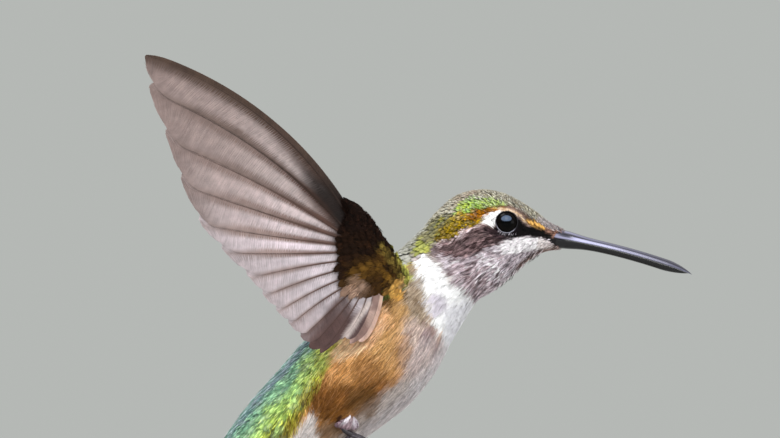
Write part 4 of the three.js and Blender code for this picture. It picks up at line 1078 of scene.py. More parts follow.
def make_skin():
    import bmesh
    a, b = np.meshgrid(np.linspace(0, 1, 150), np.arange(110) / 110, indexing="ij")
    P, _ = BODY.at(a.ravel(), b.ravel(), np.zeros(a.size))
    solids = [P.reshape(150, 110, 3)]
    for side in (-1, 1):
        solids.append(arm_grid(side, 40, 36, -0.2)[0])
        solids.append(thigh_grid(side, 16, 20, 0.22))
    v, q = remeshed(solids, 0.22)
    v = smoothed(v, q, 6)
    bm = bmesh.new()
    vs = [bm.verts.new(p) for p in v]
    for f in q:
        bm.faces.new([vs[i] for i in f])
    for radius, cuts in ((2.3, 2), (1.75, 1)):
        bm.verts.ensure_lookup_table()
        co = np.array([w.co for w in bm.verts])
        r, off, A = from_eye(co)
        near = (r < radius) & (co[:, 2] > 56)
        bm.verts.index_update()
        edges = [e for e in bm.edges if near[e.verts[0].index] and near[e.verts[1].index]]
        bmesh.ops.subdivide_edges(bm, edges=edges, cuts=cuts, use_grid_fill=True)
    bmesh.ops.triangulate(bm, faces=[f for f in bm.faces if len(f.verts) != 4])
    bm.verts.ensure_lookup_table()
    bm.verts.index_update()
    v = np.array([w.co for w in bm.verts])
    quads = np.array([[w.index for w in f.verts] for f in bm.faces if len(f.verts) == 4])
    tris = np.array([[w.index for w in f.verts] for f in bm.faces if len(f.verts) == 3]).reshape(-1, 3)
    bm.free()
    # eyelids: the skin dips behind the eyeball, rolls over its rim and falls back in fine folds
    r, off, A = from_eye(v)
    side = np.where(v[:, 1] >= 0, 1.0, -1.0)
    C = np.stack([np.full(len(v), EYE_X), side * EYE_Y, np.full(len(v), EYE_Z)], -1)
    along = ((v - C) * A).sum(-1)
    near = (r < 2.2) & (v[:, 2] > 56) & (along > 0.2)
    ball = np.sqrt(np.maximum(EYE_R ** 2 - r ** 2, 0))
    rim = math.sqrt(EYE_R ** 2 - 1.22 ** 2)
    prof = np.interp(r, [0, 1.12, 1.19, 1.24, 1.29, 1.36, 1.46, 1.6, 1.9], [0, 0, 0.55, 0.93, 1.0, 0.97, 0.82, 0.55, 0.3])
    lid = (rim - 0.42) * (1 - prof) + (rim + 0.10) * prof
    lid = np.where(r < 1.16, np.minimum(lid, ball - 0.3), lid)
    lid = lid + 0.018 * np.sin(r * 2 * np.pi / 0.10) * smooth(1.30, 1.36, r) * (1 - smooth(1.55, 1.7, r))
    w = 1 - smooth(1.42, 1.85, r)
    along2 = np.where(near, along * (1 - w) + lid * w, along)
    v = v + A * (along2 - along)[:, None]
    # markings
    body_cloud = solids[0].reshape(-1, 3)[::3]
    arm_cloud = np.concatenate([solids[1].reshape(-1, 3), solids[3].reshape(-1, 3)])
    g = np.random.default_rng(3)
    col = plumage(v, g.random(len(v)), g.random(len(v)))
    db = nearest(v, body_cloud)[1]
    da = nearest(v, arm_cloud)[1]
    on_arm = smooth(-0.15, 0.25, db - da)
    outer = arm_colour(v, g.random(len(v)))
    col = col + (outer - col) * on_arm[:, None]
    # painted shade: the skin between the feathers takes their colours, darkened
    col = col * 0.62
    lidc = smooth(1.62, 1.38, r) * (along2 > 0.3) * (v[:, 2] > 56)
    low = smooth(0.1, -0.8, off[:, 2]) * smooth(1.19, 1.23, r) * smooth(1.31, 1.27, r) * smooth(1.12, 0.75, off[:, 0])
    lc = lin((18, 16, 20))[None] + (lin((160, 158, 170)) - lin((18, 16, 20)))[None] * low[:, None]
    col = col + (lc - col) * lidc[:, None]
    m, nt, bsdf = material("skin", 0.62, 0.0, 0.2)
    at = node(nt, "ShaderNodeAttribute", attribute_name="Col")
    c, _ = varied(nt, at.outputs["Color"], 2200.0, 0.85, 1.12)
    nt.links.new(c, bsdf.inputs["Base Color"])
    vo = nt.nodes.new("ShaderNodeTexVoronoi")
    vo.inputs["Scale"].default_value = 5200.0
    nt.links.new(object_coords(nt), vo.inputs["Vector"])
    add_bump(nt, bsdf, vo.outputs["Distance"], 0.35, 0.00006)
    ob = make_mesh("skin", v, [quads, tris], col, material=m)
    return place(ob, "trunk_plumage", "head", "neck", "trunk", "tail_base", "thigh_right", "thigh_left", "wing_right_arm", "wing_left_arm")


def arm_colour(P, r):
    """Colour of the small feathers on the wing's arm. The outer face is its underside."""
    u, v = side_view(P[:, 0], P[:, 2])
    wob = noise3(P, 0.8) - 0.5
    u, v = u + 5 * wob, v + 5 * (noise3(P + 17, 0.8) - 0.5)
    fine = noise3(P + 5, 0.5)
    side = np.where(P[:, 1] >= 0, 1.0, -1.0)
    p = ((P[:, 0] - SHOULDER_X) * -0.777 + (P[:, 2] - SHOULDER_Z) * 0.63)
    q = ((P[:, 0] - SHOULDER_X) * -0.63 + (P[:, 2] - SHOULDER_Z) * -0.777)
    sheet = wing_point(p, q, 0 * p, 1)[:, 1]
    outer = smooth(-0.12, 0.12, np.abs(P[:, 1]) - sheet)
    u0, v0 = side_view(P[:, 0], P[:, 2])
    c = np.repeat(lin((20, 9, 5))[None], len(u), 0)
    c = layer(c, smooth(0.35, 0.7, fine) * 0.35, (34, 18, 11), (26, 12, 8), r)
    c = layer(c, poly(u, v, [(340, 236), (372, 232), (392, 252), (404, 274), (402, 300), (372, 300), (346, 292), (338, 270)], 22) * 0.6, (38, 21, 8), (24, 12, 4), r)
    # golden streaks that run back over the middle
    c = layer(c, poly(u, v, [(362, 262), (384, 256), (400, 272), (404, 288), (392, 298), (372, 292), (362, 280)], 13) * (0.30 + 0.55 * smooth(0.35, 0.65, fine)), (104, 74, 26), (62, 40, 13), r)
    c = layer(c, line(u, v, [(352, 276), (366, 268), (388, 271), (400, 280)], 5, 5) * 0.4, (112, 80, 28), (76, 50, 18), r)
    # grey-brown down below it, with a dark curved border
    c = layer(c, poly(u, v, [(338, 288), (350, 280), (360, 274), (372, 274), (378, 284), (384, 297), (380, 308), (366, 318), (346, 326), (336, 306)], 6) * 0.95, (150, 124, 108), (104, 80, 66), r)
    c = layer(c, line(u, v, [(350, 281), (344, 288), (342, 296), (344, 306), (350, 316)], 5, 4) * 0.85, (84, 56, 44), (60, 38, 29), r)
    c = layer(c, poly(u, v, [(376, 278), (388, 276), (394, 286), (390, 300), (380, 298)], 5) * 0.6, (78, 52, 24), (52, 33, 14), r)
    # gold at the bend, a dark spot below it and a yellow-green edge above
    c = layer(c, poly(u0, v0, [(392, 287), (398, 280), (408, 278), (416, 288), (412, 300), (402, 303), (395, 298)], 6), (220, 176, 98), (172, 127, 63), r)
    c = layer(c, poly(u0, v0, [(379, 288), (388, 290), (395, 303), (389, 310), (381, 302)], 4) * 0.85, (72, 46, 20), (46, 28, 12), r)
    c = layer(c, line(u0, v0, [(385, 249), (392, 258), (399, 267), (405, 276)], 5, 5) * 0.75, (126, 108, 50), (84, 66, 28), r)
    c = layer(c, line(u0, v0, [(398, 261), (405, 268), (414, 279)], 2.2, 3) * 0.9, (150, 142, 66), (104, 92, 42), r)
    # the root takes the colours of the body about it
    near = smooth(402, 412, u0 + 0.35 * (v0 - 280))
    c = c + (plumage(P, r, r[::-1]) - c) * near[:, None]
    back = np.repeat(lin((70, 92, 46))[None], len(u), 0)
    back = layer(back, smooth(0.3, 0.7, fine), (104, 132, 58), (56, 84, 50), r)
    back = layer(back, 1 - smooth(0.6, 2.0, line_distance(p, q, ARM_EDGE)), (46, 34, 20), (34, 24, 14), r)
    back = layer(back, (1 - smooth(0.6, 2.0, line_distance(p, q, ARM_EDGE))) * smooth(2.8, 1.8, p), (170, 172, 84), (126, 120, 54), r)
    back = layer(back, smooth(3.0, 9.0, p) * 0.85, (66, 56, 50), (48, 40, 36), r)
    return back + (c - back) * outer[:, None]


skin = make_skin()
print("skin done")

# ------------------------------------------------------------------ how the feathers lie
def t_of(a):
    return a * LAST


CHEEK = [(436, 241), (456, 238), (480, 228), (496, 236), (515, 241), (546, 242), (552, 250), (530, 268), (505, 284), (485, 300), (468, 297), (455, 286), (444, 270), (436, 256)]
# places on the cheek and throat, and how much the feathers there drop over a unit of length
CHEEK_FLOW = np.array([(445, 243, -0.02), (440, 252, 0.16), (462, 238, -0.30), (478, 231, -0.32), (455, 250, 0.12), (480, 250, -0.12), (500, 245, -0.28), (448, 266, 0.06), (468, 265, 0.0),
                       (490, 262, -0.30), (510, 258, -0.34), (530, 250, -0.22), (458, 280, -0.22), (474, 286, -0.50), (490, 280, -0.68), (500, 272, -0.66), (516, 267, -0.60), (536, 258, -0.42)])


def lie(a, b, g, jitter=0.08):
    """Turn of the feathers at (a, b) away from the line to the tail, in radians."""
    P, n, Pa, Pb = BODY.axes(a, b)
    U = unit(Pa - n * (Pa * n).sum(-1, keepdims=True))
    C = np.cross(n, U)
    ang = np.zeros(len(a))
    # round the eye
    r, off, A = from_eye(P)
    rr = unit(off)
    k = np.where(r < 50, (1.35 / np.maximum(r, 1.35)) ** 2, 0)[:, None]
    vv = U - k * (2 * (U * rr).sum(-1, keepdims=True) * rr - U)
    ang = np.arctan2((vv * C).sum(-1), (vv * U).sum(-1))
    ang = np.where(r < 6, ang, 0)
    # down along the flank beside the green of the back, and round the leg
    u, v = side_view(P[:, 0], P[:, 2])
    down = np.stack([np.zeros(len(a)), np.zeros(len(a)), -np.ones(len(a))], -1)
    turn = np.arctan2((down * C).sum(-1), (down * U).sum(-1))
    turn = np.clip(turn, -0.8, 0.8)
    near = np.exp(-(line_distance(u, v, BACK_EDGE[6:13]) / 22.0) ** 2) * smooth(345, 375, v) * smooth(0.15, 0.5, np.abs(n[:, 1]))
    ang = ang + turn * near * 0.65
    # back over the cheek almost level, and slanting down the throat
    here = poly(u, v, CHEEK, 7) * smooth(0.2, 0.5, np.abs(n[:, 1]))
    w = 1 / ((u[:, None] - CHEEK_FLOW[None, :, 0]) ** 2 + (v[:, None] - CHEEK_FLOW[None, :, 1]) ** 2 + 9) ** 2
    slope = (w * CHEEK_FLOW[None, :, 2]).sum(1) / w.sum(1) + 0.16 * (noise3(P + 31, 0.9) - 0.5) * 2
    way = np.stack([-np.ones(len(a)), np.zeros(len(a)), slope], -1)
    turn = np.arctan2((way * C).sum(-1), (way * U).sum(-1)) - ang
    turn = (turn + np.pi) % (2 * np.pi) - np.pi
    ang = ang + np.clip(turn, -1.2, 1.2) * here * 0.9
    return ang + g.normal(0, jitter, len(a))


AA, BB = np.meshgrid(np.linspace(0, 1, 800), np.arange(640) / 640, indexing="ij")
GU, GV = side_view(BODY.P[..., 0], BODY.P[..., 2])
G_SCALY = poly(GU.ravel(), GV.ravel(), SCALY, 1.0).reshape(GU.shape)
G_THROAT = poly(GU.ravel(), GV.ravel(), [(431, 243), (452, 239), (478, 226), (500, 230), (512, 236), (548, 238), (575, 244), (575, 262), (520, 290), (482, 318), (470, 299), (462, 292), (454, 285), (447, 276), (440, 262), (434, 253)], 1.0).reshape(GU.shape)
G_R = from_eye(BODY.P.reshape(-1, 3))[0].reshape(GU.shape)
G_EYE = (G_R > 1.48)
# the bare base of the bill
G_BARE = 1 - poly(GU.ravel(), GV.ravel(), [(550, 237.8), (556, 233.5), (580, 232), (580, 251), (565, 249.6), (556, 245.5)], 0.6).reshape(GU.shape)
TT = AA * LAST
SIDE_Y = BODY.P[..., 1]


def toward(S, a, b, way):
    """Turn of a feather at (a, b) that points it the given way."""
    P, n, Pa, Pb = S.axes(a, b)
    U = unit(Pa - n * (Pa * n).sum(-1, keepdims=True))
    C = np.cross(n, U)
    return np.arctan2((way * C).sum(-1), (way * U).sum(-1))


def spot(S, u, v, side):
    """The root (a, b) on the given side of a surface at a place in side view."""
    su, sv = side_view(S.P[..., 0], S.P[..., 2])
    d = np.hypot(su - u, sv - v) + 1e3 * (S.N[..., 1] * side <= 0)
    i, j = np.unravel_index(np.argmin(d), d.shape)
    return i / (d.shape[0] - 1), j / d.shape[1]


def sow(density, seed):
    """Roots on the body with a density in feathers for each square millimetre."""
    total = float((BODY.area * density)[:-1].sum())
    return BODY.scatter(int(total), density, seed)


def rows_of_scales(t_start, t_stop, length_at, width_at, seed, cover=0.42, across=0.80, wild=0.1):
    """Roots in staggered rows over the back, by the length and width of the feathers."""
    g = np.random.default_rng(seed)
    ts = np.linspace(0, LAST, 3000)
    D = spline(OUTLINE[:, 0:2], ts)
    s = np.concatenate([[0], np.cumsum(np.linalg.norm(np.diff(D, axis=0), axis=1))])
    t, A, B = t_start, [], []
    row = 0
    while t < t_stop:
        a = t / LAST
        i = min(int(a * 799), 799)
        ring = BODY.P[i]
        seg = np.linalg.norm(np.roll(ring, -1, 0) - ring, axis=1)
        arc = np.concatenate([[0], np.cumsum(seg)])
        n = max(int(arc[-1] / (width_at(t) * across)), 8)
        pos = ((np.arange(n) + 0.5 * (row % 2) + g.normal(0, wild, n)) / n) % 1.0
        b = np.interp(pos * arc[-1], arc, np.arange(641) / 640) % 1.0
        A.append(np.full(n, a) + g.normal(0, wild, n) * cover * length_at(t) / 60)
        B.append(b)
        s0 = np.interp(t, ts, s)
        t = float(np.interp(s0 + cover * length_at(t), s, ts))
        row += 1
    return np.clip(np.concatenate(A), 0, 1), np.concatenate(B)


def grid_value(G, a, b):
    i = np.clip((a * 799).round().astype(int), 0, 799)
    j = (np.floor(b % 1.0 * 640)).astype(int) % 640
    return G[i, j]


def coat_depth(a):
    return np.interp(a, np.linspace(0, 1, 800), COAT)


def iridescence(P):
    """How glossy the feathers are: the green and golden ones."""
    u, v = side_view(P[:, 0], P[:, 2])
    back = poly(u, v, BACK, 6)
    head = poly(u, v, [(424, 246), (430, 216), (452, 200), (478, 195), (506, 201), (508, 209), (484, 216), (462, 232), (436, 246)], 6)
    return np.clip(back * 0.85 + head * 0.8, 0, 1)


# ---- scaled feathers of crown, nape and back
def scales(name, t0, t1, length_at, width_at, seed, slot, fringe, material_, region, high=1.0, pick=None, cover=0.42, dark=0.5, fringe_len=0.26, tone=(0.8, 1.0, 1.1), fringe_w=0.07, across=0.8, wild=0.1, speckle=0.0, stay=False):
    g = np.random.default_rng(seed)
    a, b = rows_of_scales(t0, t1, length_at, width_at, seed, cover, across, wild)
    ok = (grid_value(region, a, b) > 0.5) & (grid_value(G_EYE, a, b) > 0.5) & (grid_value(G_BARE, a, b) > 0.5)
    a, b = a[ok], b[ok]
    t = t_of(a)
    r, r2 = g.random(len(a)), g.random(len(a))
    L = np.array([length_at(x) for x in t]) * (1 - wild + 2 * wild * g.random(len(a)))
    W = np.array([width_at(x) for x in t]) * (1 - wild + 2 * wild * g.random(len(a)))
    ang = lie(a, b, g, 0.03 + 0.4 * wild)
    P = footprint(BODY, a, b, ang, L, 0.72)
    if stay:
        u, v = side_view(P[:, 0], P[:, 2])
        off = poly(u, v, BACK, 1.0) < 0.9
        P[off] = footprint(BODY, a[off], b[off], ang[off], L[off], 0.1)
    speckle = np.interp(t, speckle[0], speckle[1]) if isinstance(speckle, tuple) else np.full(len(a), speckle)
    main = plumage(P, r, r2) * (1 - speckle + 1.9 * speckle * g.random(len(a)))[:, None]
    grey = main @ np.array([0.3, 0.6, 0.1])
    main = main + (grey[:, None] - main) * (0.9 * speckle * (g.random(len(a)) < 0.35))[:, None]
    # painted shade: the nape's scales, which lie lower, are darkened in place of the shade they no longer cast
    if t1 < 12:
        main = main * (1 - 0.24 * smooth(6.5, 8.2, t))[:, None]
    edge = pick(P, main, g)
    D = coat_depth(a)
    coat = Coat()
    if t1 < 12:
        D = D * (1 - 0.25 * smooth(5.5, 7.5, t))
    leaves(coat, BODY, a, b, ang, L, W, 0.08 * D, D * high * (0.92 + 0.14 * g.random(len(a))), main, edge, g,
           tint=iridescence(P), fringe=fringe, rootdark=dark + (0.85 - dark) * smooth(6.0, 8.0, t) * (t < 9.3) if t1 < 12 else dark, fringe_len=fringe_len, fringe_tone=tone, fringe_w=fringe_w)
    return coat.build(name, material_, slot)


def crown_edge(P, main, g):
    """Crown feathers: dull ones have pale margins round dark middles, bright ones dark margins."""
    u, v = side_view(P[:, 0], P[:, 2])
    bright = iridescence(P)[:, None]
    far = smooth(440, 424, u)[:, None]
    return main * (0.36 + 0.12 * bright + 0.5 * far)


def back_edge(P, main, g):
    return 0.25 * main + 0.75 * main * np.array([0.34, 0.50, 0.52])


head_len = lambda t: float(np.interp(t, [0, 1, 2, 3, 5, 7, 9, 10], [0.37, 0.39, 0.41, 0.45, 0.54, 0.68, 1.05, 1.5]))
head_wid = lambda t: float(np.interp(t, [0, 1, 2, 3, 5, 7, 9, 10], [0.21, 0.245, 0.27, 0.30, 0.35, 0.44, 0.64, 0.9]))
back_len = lambda t: float(np.interp(t, [9, 11, 13, 16, 18, 20], [1.5, 1.7, 1.85, 1.95, 2.2, 2.3]))
back_wid = lambda t: float(np.interp(t, [9, 11, 13, 16, 18, 20], [0.85, 0.95, 1.02, 1.05, 1.1, 1.1]))

scales("coat_crown", 0.04, 9.3, head_len, head_wid, 11, "head_plumage", 3, M_SCALE, G_SCALY, pick=crown_edge, cover=0.44, across=0.9, fringe_w=0.035, fringe_len=0.2, wild=0.26, speckle=([0, 3, 6, 7.5, 9], [0.5, 0.42, 0.26, 0.10, 0.06]))
# beside the flank the scales give way to loose barbs
EDGE_D = line_distance(GU.ravel(), GV.ravel(), BACK_EDGE[3:]).reshape(GU.shape) + 100 * (np.abs(BODY.N[..., 1]) < 0.2) + 100 * (TT < 10.0)
scales("coat_back", 9.2, 19.6, back_len, back_wid, 12, "trunk_plumage", 8, M_SCALE, G_SCALY * (EDGE_D > 7.0), pick=back_edge, cover=0.42, dark=0.6, fringe_len=0.5, fringe_w=0.05, wild=0.22, speckle=0.30, stay=True)

# ---- loose feathers
def down(name, density, seed, slot, length_at, width, pairs, wide, high=1.05, pale=0.0, curl=0.0, tone=1.0, jitter=0.10, rootdark=0.55, tips=None, spread=1.0, vary=0.2, hair=0.0, hang=0.0, paint=None):
    g = np.random.default_rng(seed)
    a, b = sow(density, seed)
    t = t_of(a)
    L = np.interp(t, length_at[0], length_at[1]) * (0.8 + 0.4 * g.random(len(a)))
    ang = lie(a, b, g, jitter)
    if hang:
        fall = toward(BODY, a, b, np.array([-0.12, 0, -1.0]))
        ang = ang + np.clip(fall - ang, -1.3, 1.3) * hang
    P = footprint(BODY, a, b, ang, L, 0.65)
    col = plumage(P, g.random(len(a)), g.random(len(a))) * tone
    if paint is not None:
        col = paint(P, col, g)
    D = coat_depth(a)
    coat = Coat()
    light = col @ np.array([0.25, 0.6, 0.15])
    locks(coat, BODY, a, b, ang, L, L * width, 0.06 * D, D * high * (0.75 + 0.35 * g.random(len(a))), col, g,
          pairs=pairs, wide=np.interp(t, wide[0], wide[1]), pale=pale, curl=curl, rootdark=rootdark + 0.40 * smooth(0.35, 0.75, light), spread=spread, vary=vary)
    if hair:
        n = int(len(a) * hair)
        k = g.choice(len(a), n, replace=False)
        fair = np.where(g.random(n)[:, None] < 0.62, 1.15 * col[k] + 0.35 * lin((244, 226, 204)) * (0.01 + 0.99 * light[k, None]), 0.42 * col[k])
        locks(coat, BODY, a[k], b[k] + g.normal(0, 0.001, n), ang[k] + g.normal(0, 0.05, n), L[k] * 1.08, L[k] * 0.1, 0.3 * D[k], D[k] * (0.98 + 0.08 * g.random(n)), fair, g, pairs=0, wide=0.045, rootdark=0.8)
    return coat.build(name, M_DOWN, slot)


OPEN = (1 - G_SCALY) * G_EYE * G_BARE
LEN = ([0, 1, 2, 3, 4, 5, 6, 8, 10, 12, 15, 17, 19, 20], [0.45, 0.55, 0.70, 0.80, 0.9, 1.05, 1.25, 1.8, 2.4, 2.7, 2.6, 2.2, 1.9, 1.6])
DEN = np.interp(TT, [0, 1, 2, 3, 4, 5, 6, 8, 10, 12, 15, 17, 19, 20], [26, 22, 17, 14, 12, 10, 8.5, 5.5, 3.9, 3.6, 3.8, 4.6, 5.5, 7])
WIDE = ([0, 2, 5, 8, 12, 20], [0.055, 0.065, 0.075, 0.085, 0.085, 0.095])
FINE = ([0, 20], [0.065, 0.065])
# loose barbs that hang over the border between the green back and the flank
BORDER = smooth(17.0, 8.0, EDGE_D) * G_SCALY * (TT > 9.5) * (TT < 19.5)


def face_tone(P, col, g):
    """Dark and pale locks side by side over the cheek and throat."""
    light = col @ np.array([0.25, 0.6, 0.15])
    k = g.random(len(P))
    much = smooth(0.02, 0.07, light) * smooth(0.85, 0.4, light)
    u, v = side_view(P[:, 0], P[:, 2])
    lift = 1 + 0.30 * poly(u, v, [(437, 244), (470, 246), (500, 262), (505, 280), (480, 300), (460, 288), (442, 268)], 8)
    return col * (lift * (1 + much * (np.where(k < 0.34, 0.52, np.where(k < 0.68, 1.0, 1.5)) - 1)))[:, None]


FACE = ([0, 1, 2, 3, 4, 5, 6, 8], [0.5, 0.65, 0.85, 1.1, 1.35, 1.55, 1.75, 2.0])
THIN = ([0, 2, 5, 8], [0.045, 0.05, 0.055, 0.065])
down("coat_face_right", 1.25 * DEN * OPEN * (TT < 6.6) * (SIDE_Y < 0), 21, "head_plumage", FACE, 0.18, 2, THIN, jitter=0.10, vary=0.30, hair=0.7, paint=face_tone)
down("coat_face_left", 1.25 * DEN * OPEN * (TT < 6.6) * (SIDE_Y >= 0), 26, "head_plumage", FACE, 0.18, 2, THIN, jitter=0.10, vary=0.30, hair=0.7, paint=face_tone)
down("coat_collar", DEN * OPEN * (TT >= 6.6) * (TT < 9.6) * 1.15, 22, "neck_plumage", LEN, 0.38, 3, WIDE, vary=0.10, rootdark=0.6, hair=0.3)
down("coat_breast", 1.6 * DEN * OPEN * (TT >= 9.6) * (TT < 12.4), 23, "trunk_plumage", LEN, 0.20, 2, FINE, hair=0.9, vary=0.28)
down("coat_flank", 1.6 * DEN * OPEN * (TT >= 12.4) * (TT < 16.2), 24, "trunk_plumage", LEN, 0.20, 2, FINE, hair=0.9, vary=0.28)


# fine barbs that lie over the scales of the back
def over_back(P, col, g):
    k = g.random(len(P))
    return col * np.where(k < 0.42, 0.36, np.where(k < 0.68, 1.0, 1.6))[:, None]


def along_back(P, col, g):
    k = g.random(len(P))[:, None]
    return np.where(k < 0.36, 0.34 * col, np.where(k < 0.66, 0.3 * col + 0.7 * lin((196, 206, 220)), np.where(k < 0.80, 0.35 * col + 0.65 * lin((118, 110, 138)), col)))


OUTWARD = np.abs(BODY.N[..., 1])
down("coat_back_barbs", 11.0 * G_SCALY * (TT > 9.0) * (TT < 19.3) * smooth(0.25, 0.5, OUTWARD), 28, "trunk_plumage", ([0, 9, 14, 20], [0.8, 0.9, 1.0, 1.0]), 0.3, 0, ([0, 20], [0.095, 0.095]), high=1.5, hang=0.45, jitter=0.35, vary=0.1, paint=over_back)
down("coat_back_lines", 8.0 * G_SCALY * (TT > 9.0) * (TT < 19.3) * (0.25 + 0.75 * smooth(0.02, 0.12, OUTWARD)) * smooth(0.62, 0.42, OUTWARD), 29, "trunk_plumage", ([0, 9, 14, 20], [1.8, 2.2, 2.5, 2.2]), 0.3, 0, ([0, 20], [0.09, 0.09]), high=1.45, jitter=0.06, vary=0.1, paint=along_back)


def border_colour(P, col, g):
    k = g.random(len(P))
    c = np.where((k < 0.42)[:, None], lin((206, 208, 110)), np.where((k < 0.74)[:, None], lin((158, 168, 66)), np.where((k < 0.86)[:, None], lin((104, 84, 38)), lin((190, 168, 96)))))
    u, v = side_view(P[:, 0], P[:, 2])
    low = (smooth(374, 390, v) * line(u, v, [(322, 380), (312, 392), (305, 404), (297, 418), (288, 432), (279, 446)], 11, 8))[:, None]
    return 1.18 * (0.72 * c + 0.28 * col) * (1 - low * (1 - np.array([0.62, 0.52, 0.34])))


down("coat_border", 27.0 * BORDER, 27, "trunk_plumage", ([0, 9, 14, 20], [1.0, 1.15, 1.3, 1.3]), 0.26, 0, ([0, 20], [0.085, 0.085]), high=1.22, hang=0.85, jitter=0.16, vary=0.25, rootdark=0.75, paint=border_colour)


# ---- single feathers: the gold tufts before the eye, and loose tips under the throat
def accents():
    g = np.random.default_rng(33)
    coat = Coat()
    for side in (-1, 1):
        marks = [(527.5, 219.6, 0.62, 0.40), (530.6, 220.2, 0.74, 0.46), (534.2, 221.2, 0.80, 0.50), (538.0, 222.6, 0.80, 0.50), (541.6, 225.0, 0.66, 0.44)]
        ab = np.array([spot(BODY, u, v, side) for u, v, _, _ in marks])
        L, W = np.array([m[2] for m in marks]), np.array([m[3] for m in marks])
        ang = toward(BODY, ab[:, 0], ab[:, 1], np.array([0.10, 0, -1.0])) + g.normal(0, 0.1, len(ab))
        main = np.repeat(lin((228, 180, 98))[None], len(ab), 0) * (0.85 + 0.3 * g.random((len(ab), 1)))
        leaves(coat, BODY, ab[:, 0], ab[:, 1], ang, L, W, 0.12, 0.36, main, main * np.array([0.45, 0.36, 0.30]), g, fringe=10, rootdark=0.75, fringe_w=0.035, fringe_len=0.18, arch=0.3)
        # throat
        pts = [(p, _v) for p, _v in _ventral if 490 < p < 548]
        n = 34
        us = np.linspace(498, 544, n) + g.normal(0, 0.8, n)
        order = np.argsort([p for p, _ in pts])
        vs = np.interp(us, np.array([p for p, _ in pts])[order], np.array([q for _, q in pts])[order])
        ab = np.array([spot(BODY, u, v - 1.5 - 3.5 * g.random(), side) for u, v in zip(us, vs)])
        ang = toward(BODY, ab[:, 0], ab[:, 1], np.array([-0.85, 0, -0.55])) + g.normal(0, 0.12, n)
        col = np.where((g.random(n) < 0.45)[:, None], lin((64, 46, 46)), lin((226, 214, 218)))
        locks(coat, BODY, ab[:, 0], ab[:, 1], ang, 1.1 + 0.5 * g.random(n), 0.26, 0.1, 0.50 + 0.22 * g.random(n), col, g, pairs=2, wide=0.05, rootdark=0.8, vary=0.2)
    return coat.build("coat_accents", M_DOWN, "head_plumage")


accents()
down("coat_vent", DEN * OPEN * (TT >= 16.2), 25, "rump_plumage", LEN, 0.42, 4, WIDE, hair=0.4)


# ------------------------------------------------------------------ coverts of the wing's arm
REAR_HEADINGS = [108, 105.6, 102, 98.5, 94.5, 88.5, 82.6, 75.5, 67.5, 59.3, 50.6, 39.5, 31.2, 21.1, 11.8, 4.3, 0.5, -4]
CHORD_END = 1.5


def arm_face(side, face, depth):
    """One face of the arm as an open sheet that runs on past the feather roots. face 1 is the outer one."""
    rows, cols = 160, 160
    share = np.linspace(0, 1, rows)
    edge = curve_through(ARM_EDGE, share)
    rear = curve_through(ARM_REAR, share ** 0.9)
    thick = 3.4 + (0.9 - 3.4) * share ** 0.8
    c = np.linspace(-0.02, CHORD_END, cols)
    inside = np.clip(c, 0, 1)
    deep = np.sin(np.pi * inside ** 0.62) ** 0.8
    round_ = np.sqrt(np.clip(1 - (1 - np.clip((c + 0.02) / 0.10, 0, 1)) ** 2, 0, 1))
    lift = np.maximum(0.27 * round_[None], (thick[:, None] / 2) * np.nan_to_num(deep)[None])
    lift = lift + (0.30 - 0.27) * (c > 1)[None]
    p = edge[:, 0:1] + (rear[:, 0:1] - edge[:, 0:1]) * c[None]
    q = edge[:, 1:2] + (rear[:, 1:2] - edge[:, 1:2]) * c[None]
    P = wing_point(p, q, face * lift - arm_sink(share)[:, None], side)
    S = Surf(P, False, np.full((rows, cols), depth))
    want = side * face
    if (S.N[80, 60, 1] * want) < 0:
        S.N = -S.N
    return S, p, q


